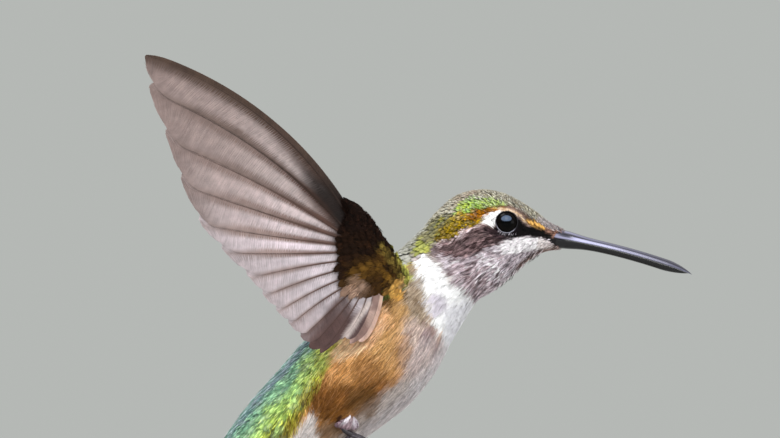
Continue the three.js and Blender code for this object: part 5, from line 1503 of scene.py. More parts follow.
def arm_coverts(side, name, seed):
    g = np.random.default_rng(seed)
    coat = Coat()
    for face in (1, -1):
        S, gp, gq = arm_face(side, face, 0.24)
        # rows from the flight feathers' roots forward to the leading edge, so that each row lies over the one behind
        plan = [(0.90, 3.4, 1.35, 0.62), (0.70, 2.7, 1.25, 0.60), (0.54, 2.1, 1.15, 0.58), (0.42, 1.7, 1.0, 0.56), (0.32, 1.5, 0.9, 0.56), (0.24, 1.3, 0.85, 0.56),
                (0.17, 1.15, 0.75, 0.56), (0.11, 1.0, 0.68, 0.56), (0.06, 0.9, 0.62, 0.56), (0.02, 0.85, 0.6, 0.56)]
        for rank, (c0, L0, W0, step) in enumerate(plan):
            n = int(17.5 / (W0 * step))
            a = (np.arange(n) + 0.5 * (rank % 2)) / n + g.normal(0, 0.15, n) / n
            a = a[(a > 0.005) & (a < 0.975)]
            n = len(a)
            b = np.clip((c0 + g.normal(0, 0.02, n) + 0.02) / (CHORD_END + 0.02), 0, 1)
            chord = np.interp(a, np.linspace(0, 1, 160), np.linalg.norm(curve_through(ARM_REAR, np.linspace(0, 1, 160) ** 0.9) - curve_through(ARM_EDGE, np.linspace(0, 1, 160)), axis=1))
            size = np.clip(chord / 7.0, 0.30, 1.05)
            if face > 0 and rank == 1:
                size = size * (1 - 0.18 * smooth(0.12, 0.22, a) * smooth(0.84, 0.76, a))
            P, nn, Pa, Pb = S.axes(a, b)
            U = unit(Pa - nn * (Pa * nn).sum(-1, keepdims=True))
            C = np.cross(nn, U)
            rear_h = np.interp(a ** 0.9 * (len(REAR_HEADINGS) - 1), np.arange(len(REAR_HEADINGS)), REAR_HEADINGS)
            w = smooth(-0.1, 0.75, c0)
            h = np.radians(w * rear_h + (1 - w) * np.interp(a, [0, 0.3, 1], [30, 0, -6]))
            x = -0.777 * np.cos(h) - 0.63 * np.sin(h)
            z = 0.63 * np.cos(h) - 0.777 * np.sin(h)
            pq = np.stack([x, side * 0.55 * np.cos(h), z], -1)
            ang = np.arctan2((pq * C).sum(-1), (pq * U).sum(-1)) + g.normal(0, 0.07, n)
            r = g.random(n)
            main = arm_colour(P, r)
            D, depth_in = nearest(P, BODY.P[::4, ::4].reshape(-1, 3))
            nb = BODY.N[::4, ::4].reshape(-1, 3)[D]
            sb = BODY.P[::4, ::4].reshape(-1, 3)[D]
            out = ((P - sb) * nb).sum(-1) > -0.05
            k = out
            if face > 0 and rank == 0:
                # the quills' pale roots stay open to view on this face
                k = k & ((a < 0.16) | (a > 0.80))
            if not k.any():
                continue
            u, v = side_view(P[:, 0], P[:, 2])
            glossy = np.where(face < 0, 0.7, 0.15) * np.ones(n)
            edge = main * (1.05 if face > 0 else 0.7)
            if face > 0 and rank == 0:
                # the row over the roots of the quills is as pale as the vanes
                w = (smooth(0.80, 0.70, a) * smooth(0.10, 0.32, a) * 0.95)[:, None]
                main = main + (lin((200, 184, 184)) * (0.94 + 0.12 * r[:, None]) - main) * w
                edge = main * (1.05 - 0.10 * w)
            leaves(coat, S, a[k], b[k], ang[k], (L0 * size * (0.9 + 0.2 * g.random(n)))[k], (W0 * size)[k], 0.02, (0.22 + 0.05 * g.random(n))[k], main[k], edge[k], g,
                   tint=glossy[k], fringe=12, rootdark=0.7, fringe_len=0.24, fringe_w=0.06, arch=0.08)
            if face > 0:
                m = k & (g.random(n) < (0.9 if rank else 0.0))
                tone = (np.where(g.random(n) < 0.5, 0.40 + 0.4 * g.random(n), 1.3 + 1.0 * g.random(n)) if rank else np.ones(n))[:, None]
                far = np.where((a > 0.14) & (rank < 5) & (rank > 1), 1.6, 1.0)
                locks(coat, S, a[m], b[m], ang[m], (L0 * size * 0.9 * far)[m], (W0 * size * 0.8)[m], 0.08, 0.31, (main * tone)[m], g, pairs=4, wide=0.07, rootdark=0.8, tips=(main * tone)[m] * 1.15, tint=0.1, vary=0.45)
    return coat.build(name, M_COVERT, "wing_coverts", soft=0.55, guard=False, longest=1.9)


for s_, n_ in ((-1, "right"), (1, "left")):
    arm_coverts(s_, "coverts_wing_" + n_, 41)
print("coverts done")


# ------------------------------------------------------------------ flight feathers
def soft_two_sided(v, f, guide, soft):
    fn = np.cross(v[f[:, 1]] - v[f[:, 0]], v[f[:, 2]] - v[f[:, 0]])
    vn = np.zeros_like(v)
    for k in range(3):
        for c in range(3):
            vn[:, c] += np.bincount(f[:, k], fn[:, c], len(v))
    vn, fn = unit(vn), unit(fn)
    own = vn[f]
    own = np.where(((own * fn[:, None]).sum(-1) > 0.1)[..., None], own, fn[:, None])
    lead = guide[f]
    d = (lead * fn[:, None]).sum(-1)
    lead = lead * np.sign(d)[..., None]
    n = unit((1 - soft) * own + soft * lead)
    good = ((n * fn[:, None]).sum(-1) > 0.15) & (np.abs(d) > 0.25)
    return np.where(good[..., None], n, own).reshape(-1, 3)


DIAMOND = [(-1, 0), (0, 1), (1, 0), (0, -1)]
_pts = [(x, y, z) for x in (0, 1, 2) for y, z in DIAMOND] + [(3, 0, 0)]
_fs = [(0, 1, 2), (0, 2, 3)]
for _i in range(2):
    for _j in range(4):
        _k = (_j + 1) % 4
        a_, b_, c_, d_ = _i * 4 + _j, _i * 4 + _k, (_i + 1) * 4 + _k, (_i + 1) * 4 + _j
        _fs += [(a_, b_, c_), (a_, c_, d_)]
for _j in range(4):
    _fs.append((8 + _j, 8 + (_j + 1) % 4, 12))
_v, _f = np.asarray(_pts, float), np.asarray(_fs, int)
_side = np.einsum("ij,ij->i", _v[_f[2:, 0]] - _v.mean(0), np.cross(_v[_f[2:, 1]] - _v.mean(0), _v[_f[2:, 2]] - _v.mean(0))).sum()
if _side < 0:
    _f[2:] = _f[2:, ::-1]
if np.cross(_v[_f[0, 1]] - _v[_f[0, 0]], _v[_f[0, 2]] - _v[_f[0, 0]])[0] > 0:
    _f[:2] = _f[:2, ::-1]
VANE_BARB = _f


class Vanes:
    """Flight feathers of one wing or of the tail. place(f, g, lift) gives a point of the feather's sheet and its normal."""

    def __init__(self):
        self.v, self.f, self.c, self.u, self.g, self.t, self.n = [], [], [], [], [], [], 0

    def add(self, v, f, c, u, g, t):
        self.v.append(v); self.f.append(f + self.n); self.c.append(c); self.u.append(u); self.g.append(g)
        self.t.append(np.broadcast_to(t, len(v)))
        self.n += len(v)

    def feather(self, place, colour, column, columns, length, rows, rng_, lead=1.0, trail=1.0, tip_at=0.86, plate=0.965, spacing=0.30, rachis=0.15, tint=0.0, thick=0.05, shaft_colour=(96, 70, 60), start=0.0, sharp=2.0, barb_w=0.13, forward=0.75, splits=0):
        def kmax(f):
            return np.clip(1 - np.clip((f - tip_at) / (1.0 - tip_at), 0, 1) ** sharp, 0, 1) ** 0.5

        def uvof(f, g):
            return np.stack([(column + 0.5 + 0.46 * np.clip(g, -1, 1)) / columns, 0.01 + 0.98 * np.clip((f + 0.1) / 1.12, 0, 1)], -1)

        # gaps where the barbs have parted
        cuts = [(0.35 + 0.55 * rng_.random(), rng_.random() < 0.65) for _ in range(splits)]
        # a thin plate carries the colour between the barbs
        f = start + (0.992 - start) * (np.linspace(0, 1, rows) ** 0.9)
        gcol = np.linspace(-1, 1, 13)
        F, G = np.meshgrid(f, gcol, indexing="ij")
        wide = kmax(F) * plate
        GG = G * wide * np.where(G < 0, lead, trail)
        th = thick * (1 - 0.6 * np.abs(G))
        top, nrm = place(F, GG, th / 2)
        bot, _ = place(F, GG, -th / 2)
        cols = len(gcol)
        q = grid_faces(rows, cols)
        m = rows * cols
        rim = np.concatenate([np.arange(cols), (np.arange(1, rows)) * cols + cols - 1, (rows - 1) * cols + np.arange(cols - 2, -1, -1), np.arange(rows - 2, 0, -1) * cols])
        nx = np.roll(rim, -1)
        tri = np.concatenate([np.stack([q[:, 0], q[:, 1], q[:, 2]], 1), np.stack([q[:, 0], q[:, 2], q[:, 3]], 1)])
        tri = np.concatenate([tri, tri[:, ::-1] + m, np.stack([rim, m + nx, nx], 1), np.stack([rim, m + rim, m + nx], 1)])
        P = np.concatenate([top.reshape(-1, 3), bot.reshape(-1, 3)])
        tri = self.out(P, tri, m, nrm.reshape(-1, 3))
        c = colour(F.ravel(), GG.ravel(), top.reshape(-1, 3))
        self.add(P, tri, np.concatenate([c, c]), np.tile(uvof(F.ravel(), G.ravel()), (2, 1)), np.tile(nrm.reshape(-1, 3), (2, 1)), tint)
        # barbs
        for side in (-1, 1):
            n = max(int(length * (0.985 - max(start, 0)) / spacing), 6)
            f0 = max(start, 0) + (0.985 - max(start, 0)) * (np.arange(n) + rng_.random(n) * 0.5) / n
            scale = lead if side < 0 else trail
            e1, _ = place(f0, np.full(n, side * 0.95 * scale), np.zeros(n))
            e0, _ = place(f0, np.zeros(n), np.zeros(n))
            w = np.linalg.norm(e1 - e0, axis=1)
            f1 = f0 + forward * w * kmax(f0) / length
            f1 = np.where(f1 > 1.0, 1.0 - 0.02 * rng_.random(n), f1)
            for cut, s_right in cuts:
                if (side > 0) == s_right:
                    d = (f0 - cut) / 0.05
                    f1 = f1 + 0.018 * np.sign(d) * np.exp(-np.abs(d))
            over = 1.0 + 0.03 * rng_.random(n)
            ks = np.array([0.0, 0.38, 0.74, 1.0])
            fb = f0[:, None] + (f1 - f0)[:, None] * ks[None] ** 1.15
            fb = np.minimum(fb, 1.0)
            gb = side * scale * ks[None] * np.maximum(kmax(np.minimum(fb, 0.999)), 0.02) * over[:, None]
            pts, nn = place(fb.ravel(), gb.ravel(), np.zeros(fb.size))
            pts, nn = pts.reshape(n, 4, 3), nn.reshape(n, 4, 3)
            d = np.gradient(pts, axis=1)
            x = unit(np.cross(nn, d))
            hw = barb_w * np.array([0.55, 1.0, 0.8]) * (0.9 + 0.2 * rng_.random((n, 1)))
            hh = np.array([0.055, 0.045, 0.030])[None]
            V = np.zeros((n, 13, 3))
            for r in range(3):
                for j, (yy, zz) in enumerate(DIAMOND):
                    V[:, r * 4 + j] = pts[:, r] + x[:, r] * (yy * hw[:, r])[:, None] + nn[:, r] * (zz * hh[:, r])[:, None]
            V[:, 12] = pts[:, 3]
            cc = colour(fb.ravel(), gb.ravel(), pts.reshape(-1, 3)).reshape(n, 4, 3) * (0.90 + 0.20 * rng_.random((n, 1, 1)))
            idx = np.array([0] * 4 + [1] * 4 + [2] * 4 + [3])
            uvb = uvof(fb, gb / max(scale, 1e-3))[:, idx]
            faces = many(VANE_BARB, 13, n)
            # a cross-section turned with the normal winds the same way on both sides, but mirrored wings don't
            v0 = V.reshape(-1, 3)
            fn = np.cross(v0[faces[:, 1]] - v0[faces[:, 0]], v0[faces[:, 2]] - v0[faces[:, 0]])
            ctr = np.repeat(V.mean(1), len(VANE_BARB), 0)
            if (fn * (v0[faces].mean(1) - ctr)).sum() < 0:
                faces = faces[:, ::-1]
            self.add(v0, faces, cc[:, idx].reshape(-1, 3), uvb.reshape(-1, 2), nn[:, idx].reshape(-1, 3), tint)
        # the shaft
        k = rows
        fr = np.linspace(min(start, 0) - 0.02, 0.985, k)
        pts, nn = place(fr, np.zeros(k), np.zeros(k))
        d = unit(np.gradient(pts, axis=0))
        x = unit(np.cross(nn, d))
        rad = rachis * (1 - 0.88 * np.clip(fr, 0, 1) ** 0.8)
        turn = np.arange(8) / 8 * 2 * np.pi
        R = pts[:, None] + x[:, None] * (np.cos(turn)[None, :, None] * rad[:, None, None]) + nn[:, None] * (np.sin(turn)[None, :, None] * rad[:, None, None] * 0.9)
        v, qd, caps = ring_solid(R)
        tri = np.concatenate([np.stack([qd[:, 0], qd[:, 1], qd[:, 2]], 1), np.stack([qd[:, 0], qd[:, 2], qd[:, 3]], 1), caps])
        if np.einsum("ij,ij->i", v[tri[:, 0]] - v.mean(0), np.cross(v[tri[:, 1]] - v.mean(0), v[tri[:, 2]] - v.mean(0))).sum() < 0:
            tri = tri[:, ::-1]
        cs = 0.5 * lin(shaft_colour)[None] + 0.5 * colour(np.repeat(fr, 8), np.zeros(k * 8), R.reshape(-1, 3)) * 0.8
        cs = np.concatenate([cs, cs[:1], cs[-1:]])
        g = np.concatenate([np.repeat(nn, 8, 0), nn[:1], nn[-1:]])
        uv = np.concatenate([uvof(np.repeat(fr, 8), np.zeros(k * 8)), uvof(fr[:1], np.zeros(1)), uvof(fr[-1:], np.zeros(1))])
        self.add(v, tri, cs, uv, g, tint)

    @staticmethod
    def out(P, tri, m, nrm):
        a, b, c = P[tri[0, 0]], P[tri[0, 1]], P[tri[0, 2]]
        mid = tri[len(tri) // 8]
        fn = np.cross(P[mid[1]] - P[mid[0]], P[mid[2]] - P[mid[0]])
        return tri if (fn * nrm[mid[0] % m]).sum() > 0 else tri[:, ::-1]

    def build(self, name, material_, slot, *nodes):
        v, f = np.concatenate(self.v), np.concatenate(self.f)
        n = soft_two_sided(v, f, np.concatenate(self.g), 0.45)
        ob = make_mesh(name, v, f, np.concatenate(self.c), np.concatenate(self.u), n, material_, tint=np.concatenate(self.t))
        print("piece", name, len(f))
        return place(ob, slot, *nodes)


def vane_colour(i, f, g, P, d_next, d_prev, rn):
    """Colour of wing feather i at share f of its length. g runs from -1, the leading vane's edge, to 1."""
    u, v = side_view(P[:, 0], P[:, 2])
    dn = np.where(g >= 0, np.minimum(np.abs(g) * d_next, np.abs(1 - g) * d_next + (0.0 if i < 15 else 9)), np.abs(g) * d_prev)
    hw = np.interp(f, [0.0, 0.25, 0.6, 1.0], [0.24, 0.46, 0.88, 0.80]) * np.interp(i, [0, 1, 2, 3, 4, 5, 6, 8, 10], [1.1, 1.25, 1.20, 1.08, 0.86, 0.60, 0.44, 0.32, 0.36]) * np.interp(f, [0.6, 1.0], [1.0, 0.85])
    low = float(np.interp(i, [1, 4], [0.0, 1.0]))
    n1 = noise3(P, 1.2)
    # painted shade: a dark stripe along each shaft, where the backlit vanes overlap
    overlap_shade = (1 - smooth(0.72 * hw, 1.22 * hw, dn)) * (1 - 0.6 * smooth(0.78, 1.0, f))
    pale = np.repeat((lin((204, 189, 188)) * (1 - low) + lin((214, 204, 210)) * low)[None], len(f), 0)
    pale = layer(pale, smooth(0.25, 0.8, f) * (1 - 0.75 * low), (182, 163, 160), (170, 151, 148), n1)
    pale = layer(pale, smooth(0.78, 1.0, f) * (0.75 if i < 4 else 0.15), (160, 140, 136), (150, 130, 126), n1)
    k = np.interp(i, [0, 1, 2, 3, 4], [0.0, 0.5, 0.8, 0.95, 1.0])
    d0, d1 = lin((86, 60, 52)) * (1 - k) + lin((112, 84, 76)) * k, lin((124, 104, 97)) * (1 - k) + lin((158, 137, 132)) * k
    dark = d0[None] + (d1 - d0)[None] * smooth(0.1, 0.6, f)[:, None]
    c = pale + (dark - pale) * overlap_shade[:, None]
    # painted light: the middle feathers of the hand are lightened, feather by feather, against the key light's fall-off
    c = c * (1 + np.interp(i, [1, 2, 4, 6, 7, 9, 11], [0.0, 0.10, 0.14, 0.08, -0.06, -0.10, 0.0]) * smooth(0.75, 0.2, f))[:, None]
    c = c * (1 + np.interp(i, [1, 2, 3, 4, 5, 6], [0.0, 0.15, 0.20, 0.17, 0.06, 0.0]) * smooth(0.15, 0.35, f) * smooth(0.95, 0.7, f))[:, None]
    inner = smooth(0.36, 0.04, f)[:, None]
    if i == 0:
        c = layer(c, smooth(0.15, -0.25, g), (76, 57, 48), (90, 70, 59), n1)
        c = layer(c, (1 - smooth(0.05, 0.42, g)) * (g >= 0) * 0.85, (86, 66, 57), (98, 78, 68), n1)
    if i <= 1:
        wide = (g * d_next if i == 0 else 1.0 + g * d_next)
        c = c + (lin((28, 14, 10))[None] - c) * inner * (1 - smooth(1.0, 2.6, wide))[:, None]
    c = c + (lin((58, 38, 30))[None] - c) * (smooth(0.10, -0.02, f) * np.interp(i, [3, 6], [0.8, 0.3]))[:, None]
    # the dark of the wrist runs out along the leading edge
    c = layer(c, line(u, v, [(318, 180), (304, 164), (290, 148), (274, 133), (256, 118)], 12, 8) * smooth(256, 286, u) * (i == 0) * 0.75, (98, 76, 68), (84, 63, 56), n1)
    c = layer(c, line(u, v, [(354, 231), (338, 213), (323, 196), (309, 182), (294, 167)], 17, 12) * smooth(290, 320, u) * (i <= 3) * 0.97, (30, 14, 9), (20, 8, 5), n1)
    c = layer(c, line(u, v, [(330, 222), (318, 206), (305, 191)], 11, 8) * (i <= 2) * 0.45, (106, 70, 56), (80, 52, 42), n1)
    if i >= 9:
        c = layer(c, np.full(len(f), np.interp(i, [9, 10, 11, 12], [0.25, 0.7, 0.96, 0.97])) * smooth(0.12 if i < 11 else -0.05, 0.4, f), (100, 74, 72), (80, 57, 57), n1)
        if i < 13:
            c = layer(c, poly(u, v, [(322, 322), (328, 308), (336, 298), (346, 296), (353, 306), (349, 326), (338, 348), (322, 360), (306, 354), (310, 336)], 7) * 0.85, (98, 71, 67), (80, 56, 53), n1)
    if i in (7, 8):
        c = c * (1 - 0.10 * smooth(0.1, 0.5, f))[:, None]
    if i >= 14:
        c = layer(c, np.full(len(f), 0.95), (198, 166, 157) if i < 15 else (240, 212, 200), (150, 120, 112) if i < 15 else (214, 182, 170), np.clip(n1 + 0.5 * (g > 0.1), 0, 1))
        c = layer(c, smooth(0.25, 0.6, g) * (i == 15), (226, 194, 176), (212, 176, 156), n1)
        c = layer(c, poly(u, v, [(366, 311), (384, 309), (384, 320), (377, 331), (367, 325)], 6) * 0.55, (236, 208, 196), (216, 184, 170), n1)
    c = layer(c, line(u, v, [(369, 303), (357, 320), (345, 338)], 5.5, 4) * (i >= 12), (222, 208, 204), (206, 190, 186), n1)
    return c * (0.94 + 0.12 * rn)


def wing_feathers(side, name):
    g0 = np.random.default_rng(51)
    vs, inner = Vanes(), Vanes()
    for i, F in enumerate(FLIGHT):
        prev = FLIGHT[i - 1] if i else None
        nxt = FLIGHT[i + 1] if i + 1 < len(FLIGHT) else None

        def where(f, g, F=F, prev=prev, nxt=nxt):
            p, q = shaft(F, f)
            if nxt is not None:
                p1, q1 = shaft(nxt, f)
            else:
                p1, q1 = shaft(F, f, 0.5)
            if prev is not None:
                p2, q2 = shaft(prev, f)
                k2 = 0.5
            else:
                p2, q2 = shaft(F, f, -0.65)
                k2 = 1.0
            gp, gm = np.maximum(g, 0), np.maximum(-g, 0) * k2
            return p + (p1 - p) * gp + (p2 - p) * gm, q + (q1 - q) * gp + (q2 - q) * gm, np.hypot(p1 - p, q1 - q), np.hypot(p2 - p, q2 - q) * k2

        def place_(f, g, lift, where=where):
            shape = np.shape(f)
            p, q, _, _ = where(f, g)
            # the trailing vane lies over the next shaft, and each vane is a little hollow
            base = 0.13 * np.maximum(g, 0) - 0.11 * np.maximum(-g, 0) + 0.07 * np.sin(np.pi * np.clip(np.abs(g), 0, 1)) * np.where(g > 0, -1, 1)
            pt = wing_point(p, q, 0 * p, side)
            n = wing_normal(p, q, side)
            return pt + n * (lift + base)[..., None], n

        rn = float(g0.random())

        def colour_(f, g, P, where=where, i=i, rn=rn):
            _, _, dn, dp = where(f, g)
            return vane_colour(i, f, g, P, dn, dp, rn)

        first = i < 10
        (vs if first else inner).feather(place_, colour_, i if first else i - 10, 10 if first else 6, F[2], 34 if i < 4 else 22, g0, start=-0.10 if i < 4 else -0.14,
                                         tip_at=0.90 if i < 4 else (0.86 if i < 10 else 0.74), trail=0.99 if nxt is not None else 1.0,
                                         spacing=0.27, rachis=0.17 if i < 4 else 0.13, barb_w=0.12, splits=1 if i < 6 else 0, sharp=2.2 if first else 2.0, shaft_colour=(60, 42, 35) if i < 2 else (96, 70, 60))
    vs.build("primaries_" + name, M_VANE, "flight_feathers", f"wing_{name}_primaries")
    inner.build("secondaries_" + name, M_VANE, "flight_feathers", f"wing_{name}_secondaries")


for s_, n_ in ((-1, "right"), (1, "left")):
    wing_feathers(s_, n_)
print("wings done")

# ------------------------------------------------------------------ tail
TAIL_ROOT = np.array([-11.4, 0, 30.56])
TAIL_HEADING = np.array([-0.617, 0, -0.787])
TAIL_UP = np.array([-0.787, 0, 0.617])
TAIL_LENGTH, TAIL_COUNT = 25.2, 10


def tail_point(turn_place, reach, aside, lift):
    """turn_place runs from -1 to 1 over the tail's spread."""
    turn = np.radians(turn_place * 17.0)
    along = reach * np.cos(turn) - aside * np.sin(turn)
    out = reach * np.sin(turn) + 0.9 * turn_place + aside * np.cos(turn)
    rise = -0.3 + lift - 0.045 * out * out
    return TAIL_ROOT + TAIL_HEADING * along[..., None] + np.array([0, 1, 0]) * out[..., None] + TAIL_UP * rise[..., None], out


def tail_feathers():
    g0 = np.random.default_rng(61)
    vs = Vanes()
    for j in range(TAIL_COUNT):
        pl = (j - 4.5) / 4.5
        length = TAIL_LENGTH - 1.7 * pl * pl - 0.05
        stack = 0.20 - 0.40 * abs(pl)
        s_out = 1.0 if pl > 0 else -1.0

        def place_(f, g, lift, pl=pl, length=length, stack=stack, s_out=s_out):
            reach = 3.0 + (length - 3.0) * f
            half = (0.62 + 0.62 * np.clip(f, 0, 1) ** 0.7) * (1.0 if abs(pl) < 0.95 else 0.92)
            # the outer vane of an outer feather is the narrower
            wide = half * np.where(g * s_out > 0, 1 - 0.25 * abs(pl), 1 + 0.25 * abs(pl))
            aside = g * wide
            tilt = -0.10 * g * s_out
            pt, out = tail_point(np.full(np.shape(f), pl), reach, aside, stack + tilt - 0.05 * np.abs(g))
            n = unit(TAIL_UP + np.array([0, 1, 0]) * (0.09 * out)[..., None])
            return pt + n * lift[..., None], n

        def colour_(f, g, P, pl=pl):
            n1 = noise3(P, 1.0)
            mid = abs(pl) < 0.35
            if mid:
                c = np.repeat(lin((96, 132, 82))[None], len(f), 0)
                c = layer(c, smooth(0.0, 1.0, np.abs(g)) * 0.6, (58, 86, 58), (88, 98, 56), n1)
                c = layer(c, smooth(0.86, 1.0, f) * 0.7, (40, 62, 54), (34, 50, 48), n1)
            else:
                c = np.repeat(lin((100, 114, 86))[None], len(f), 0)
                c = layer(c, smooth(0.50, 0.60, f + 0.05 * (n1 - 0.5)), (26, 28, 34), (40, 40, 46), n1)
                if abs(pl) > 0.5:
                    at = 0.93 - 0.10 * abs(pl)
                    c = layer(c, smooth(at, at + 0.03, f + 0.03 * np.abs(g)), (238, 234, 230), (222, 216, 212), n1)
            return c

        vs.feather(place_, colour_, j, TAIL_COUNT, length, 26, g0, start=0.0, tip_at=0.87, spacing=0.30, rachis=0.17, tint=0.55 if abs(pl) < 0.35 else 0.2, barb_w=0.13, shaft_colour=(40, 34, 30), sharp=2.4)
    vs.build("tail_vanes", M_TAIL, "tail_feathers", "tail_feathers")


tail_feathers()

# ------------------------------------------------------------------ bill
BILL_LENGTH = 15.1


def bill_half(name, way, length, nodes, slot):
    rows, arc = 130, 26
    k = np.linspace(0, 1, rows)
    s = -1.9 + (length + 1.9) * (1 - (1 - k) ** 1.35)
    taper = np.clip((s - (length - 3.1)) / 3.1, 0, 1)
    sp = np.maximum(s, 0)
    depth = (1.38 + (2.1 - 1.38) * np.exp(-((sp / 1.9) ** 1.5))) / 2 + 0.10 * np.maximum(-s, 0)
    half = depth * np.maximum(0.07, (1 - taper ** 1.7) ** 0.8)
    ratio = 0.9 + 0.26 * np.clip(-s / 1.7, 0, 1) + 0.05 * np.exp(-((sp / 2.0) ** 2))
    slope = 0.1664 + 2 * 0.00719 * sp
    norm = np.hypot(1, slope)
    X, Z = 29.52 + s, 58.75 - 0.1664 * s - 0.00719 * sp * s
    turn = np.linspace(0, np.pi, arc + 1)
    cs, sn = np.cos(turn)[None], np.sin(turn)[None]
    gap = 0.012
    rise = gap + (half[:, None] - gap) * sn ** (0.92 if way > 0 else 0.85)
    wide = half[:, None] * ratio[:, None] * cs
    g_ang = np.abs(np.degrees(turn)[None] - 90)  # 0 on the ridge, 90 at the cutting edge
    dark = np.zeros((rows, arc + 1))
    if way > 0:
        # a ridge along the top, a groove beside it that holds the nostril, and a rolled cutting edge
        rise = rise * (1 + 0.05 * np.exp(-(g_ang / 14) ** 2))
        groove = np.exp(-((g_ang - 52) / 12) ** 2) * np.exp(-((np.maximum(s, 0) / 4.5) ** 2))[:, None]
        slit = np.exp(-((g_ang - 66) / 7) ** 2) * np.exp(-(((s + 0.15) / 0.85) ** 4))[:, None]
        flap = np.exp(-((g_ang - 46) / 10) ** 2) * np.exp(-(((s + 0.1) / 1.1) ** 4))[:, None]
        lip = np.exp(-((g_ang - 84) / 5) ** 2) * (1 - taper)[:, None]
        fac = 1 - 0.04 * groove - 0.16 * slit + 0.05 * flap
        rise, wide = rise * fac, wide * (fac + 0.03 * lip)
        dark = slit
    else:
        # the lower half is flatter below, with a shallow channel along each side
        channel = np.exp(-((g_ang - 60) / 10) ** 2) * (1 - taper)[:, None]
        rise, wide = rise * (1 - 0.03 * channel), wide * (0.965 - 0.03 * channel)
    P = np.stack([X[:, None] + way * rise * (slope / norm)[:, None], wide, Z[:, None] + way * rise / norm[:, None]], -1)
    v, q, caps = ring_solid(P)
    tri = np.concatenate([np.stack([q[:, 0], q[:, 1], q[:, 2]], 1), np.stack([q[:, 0], q[:, 2], q[:, 3]], 1), caps])
    if np.einsum("ij,ij->i", v[tri[:, 0]] - v.mean(0), np.cross(v[tri[:, 1]] - v.mean(0), v[tri[:, 2]] - v.mean(0))).sum() < 0:
        tri = tri[:, ::-1]
    if way > 0:
        # painted reflection: a pale lilac band of sky sheen along the upper half's ridge and side, fading towards the
        # tip
        sheen_fade = (0.12 + 0.88 * np.exp(-((sp / 8.0) ** 1.6)))[:, None]
        top = smooth(89.5, 84, g_ang) * smooth(52, 66, g_ang) * sheen_fade
        upper = smooth(8, 18, g_ang) * smooth(54, 42, g_ang) * sheen_fade * 0.32
        c = lin((20, 18, 24))[None, None] + (lin((178, 178, 212)) - lin((20, 18, 24)))[None, None] * np.maximum(top, upper)[..., None]
        # painted shade: the nasal groove near the base and the nostril slit are darkened
        c = c + (lin((16, 12, 16)) - c) * (np.exp(-((g_ang - 50) / 7) ** 2) * np.exp(-(((s - 0.9) / 1.6) ** 4))[:, None] * 0.9)[..., None]
        c = c * (1 - 0.9 * dark[..., None])
        base = np.exp(-((np.maximum(s, 0) / 1.0) ** 2))[:, None] * smooth(30, 60, g_ang)
        c = c + (lin((12, 10, 13)) - c) * (0.5 * base)[..., None]
    else:
        c = np.broadcast_to(lin((13, 12, 15)), P.shape).copy()
    c = c.reshape(-1, 3)
    c = np.concatenate([c, c[:1], c[-1:]])
    m, nt, bsdf = material(name, 0.32, 0.0, 0.3)
    at = node(nt, "ShaderNodeAttribute", attribute_name="Col")
    cc, fac = varied(nt, at.outputs["Color"], 900.0, 0.8, 1.15, stretch=(0.12, 1, 1))
    nt.links.new(cc, bsdf.inputs["Base Color"])
    ns = nt.nodes.new("ShaderNodeTexNoise")
    ns.inputs["Scale"].default_value = 5000.0
    nt.links.new(object_coords(nt, (0.08, 1, 1)), ns.inputs["Vector"])
    add_bump(nt, bsdf, ns.outputs["Fac"], 0.25, 0.00003)
    bsdf.inputs["Coat Weight"].default_value = 0.1
    bsdf.inputs["Coat Roughness"].default_value = 0.2
    # the cutting edges are sharp, and each half is a mesh of its own
    ob = make_mesh(name, v, tri, c, material=m)
    place(ob, slot, *nodes)


bill_half("bill_upper_horn", 1, BILL_LENGTH, ["bill_upper"], "bill_upper_horn")
bill_half("bill_lower_horn", -1, BILL_LENGTH - 0.5, ["bill_lower"], "bill_lower_horn")

# ------------------------------------------------------------------ eyes
em, nt, bsdf = material("eye", 0.10, 0.0, 0.06)
at = node(nt, "ShaderNodeAttribute", attribute_name="Col")
ec, _ = varied(nt, at.outputs["Color"], 3000.0, 0.9, 1.1)
nt.links.new(ec, bsdf.inputs["Base Color"])


def eye(side, name):
    rows, cols = 60, 80
    th = np.linspace(0, np.pi, rows + 2)[1:-1][:, None]
    ph = (np.arange(cols) / cols * 2 * np.pi)[None]
    A = eye_axis(side)
    x = unit(np.cross(A, np.array([0, 0, 1.0])))
    y = np.cross(A, x)
    bulge = EYE_R * (1 + 0.0 * th)
    P = eye_centre(side) + (A * np.cos(th)[..., None] + (x * np.cos(ph)[..., None] + y * np.sin(ph)[..., None]) * np.sin(th)[..., None]) * bulge[..., None]
    v, q, caps = ring_solid(P)
    tri = np.concatenate([np.stack([q[:, 0], q[:, 1], q[:, 2]], 1), np.stack([q[:, 0], q[:, 2], q[:, 3]], 1), caps])
    if np.einsum("ij,ij->i", v[tri[:, 0]] - v.mean(0), np.cross(v[tri[:, 1]] - v.mean(0), v[tri[:, 2]] - v.mean(0))).sum() < 0:
        tri = tri[:, ::-1]
    deg = np.degrees(th)
    iris = smooth(21, 25, deg) * (1 - smooth(44, 50, deg))
    c = lin((1, 1, 1))[None, None] + (lin((7, 4, 3)) - lin((1, 1, 1)))[None, None] * (iris * (0.7 + 0.3 * np.sin(ph * 46)))[..., None]
    c = c.reshape(-1, 3)
    c = np.concatenate([c, c[:1], c[-1:]])
    ob = make_mesh("eyeball_" + name, v, tri, c, material=em)
    place(ob, "eye", "eye_" + name)


eye(-1, "right")
eye(1, "left")

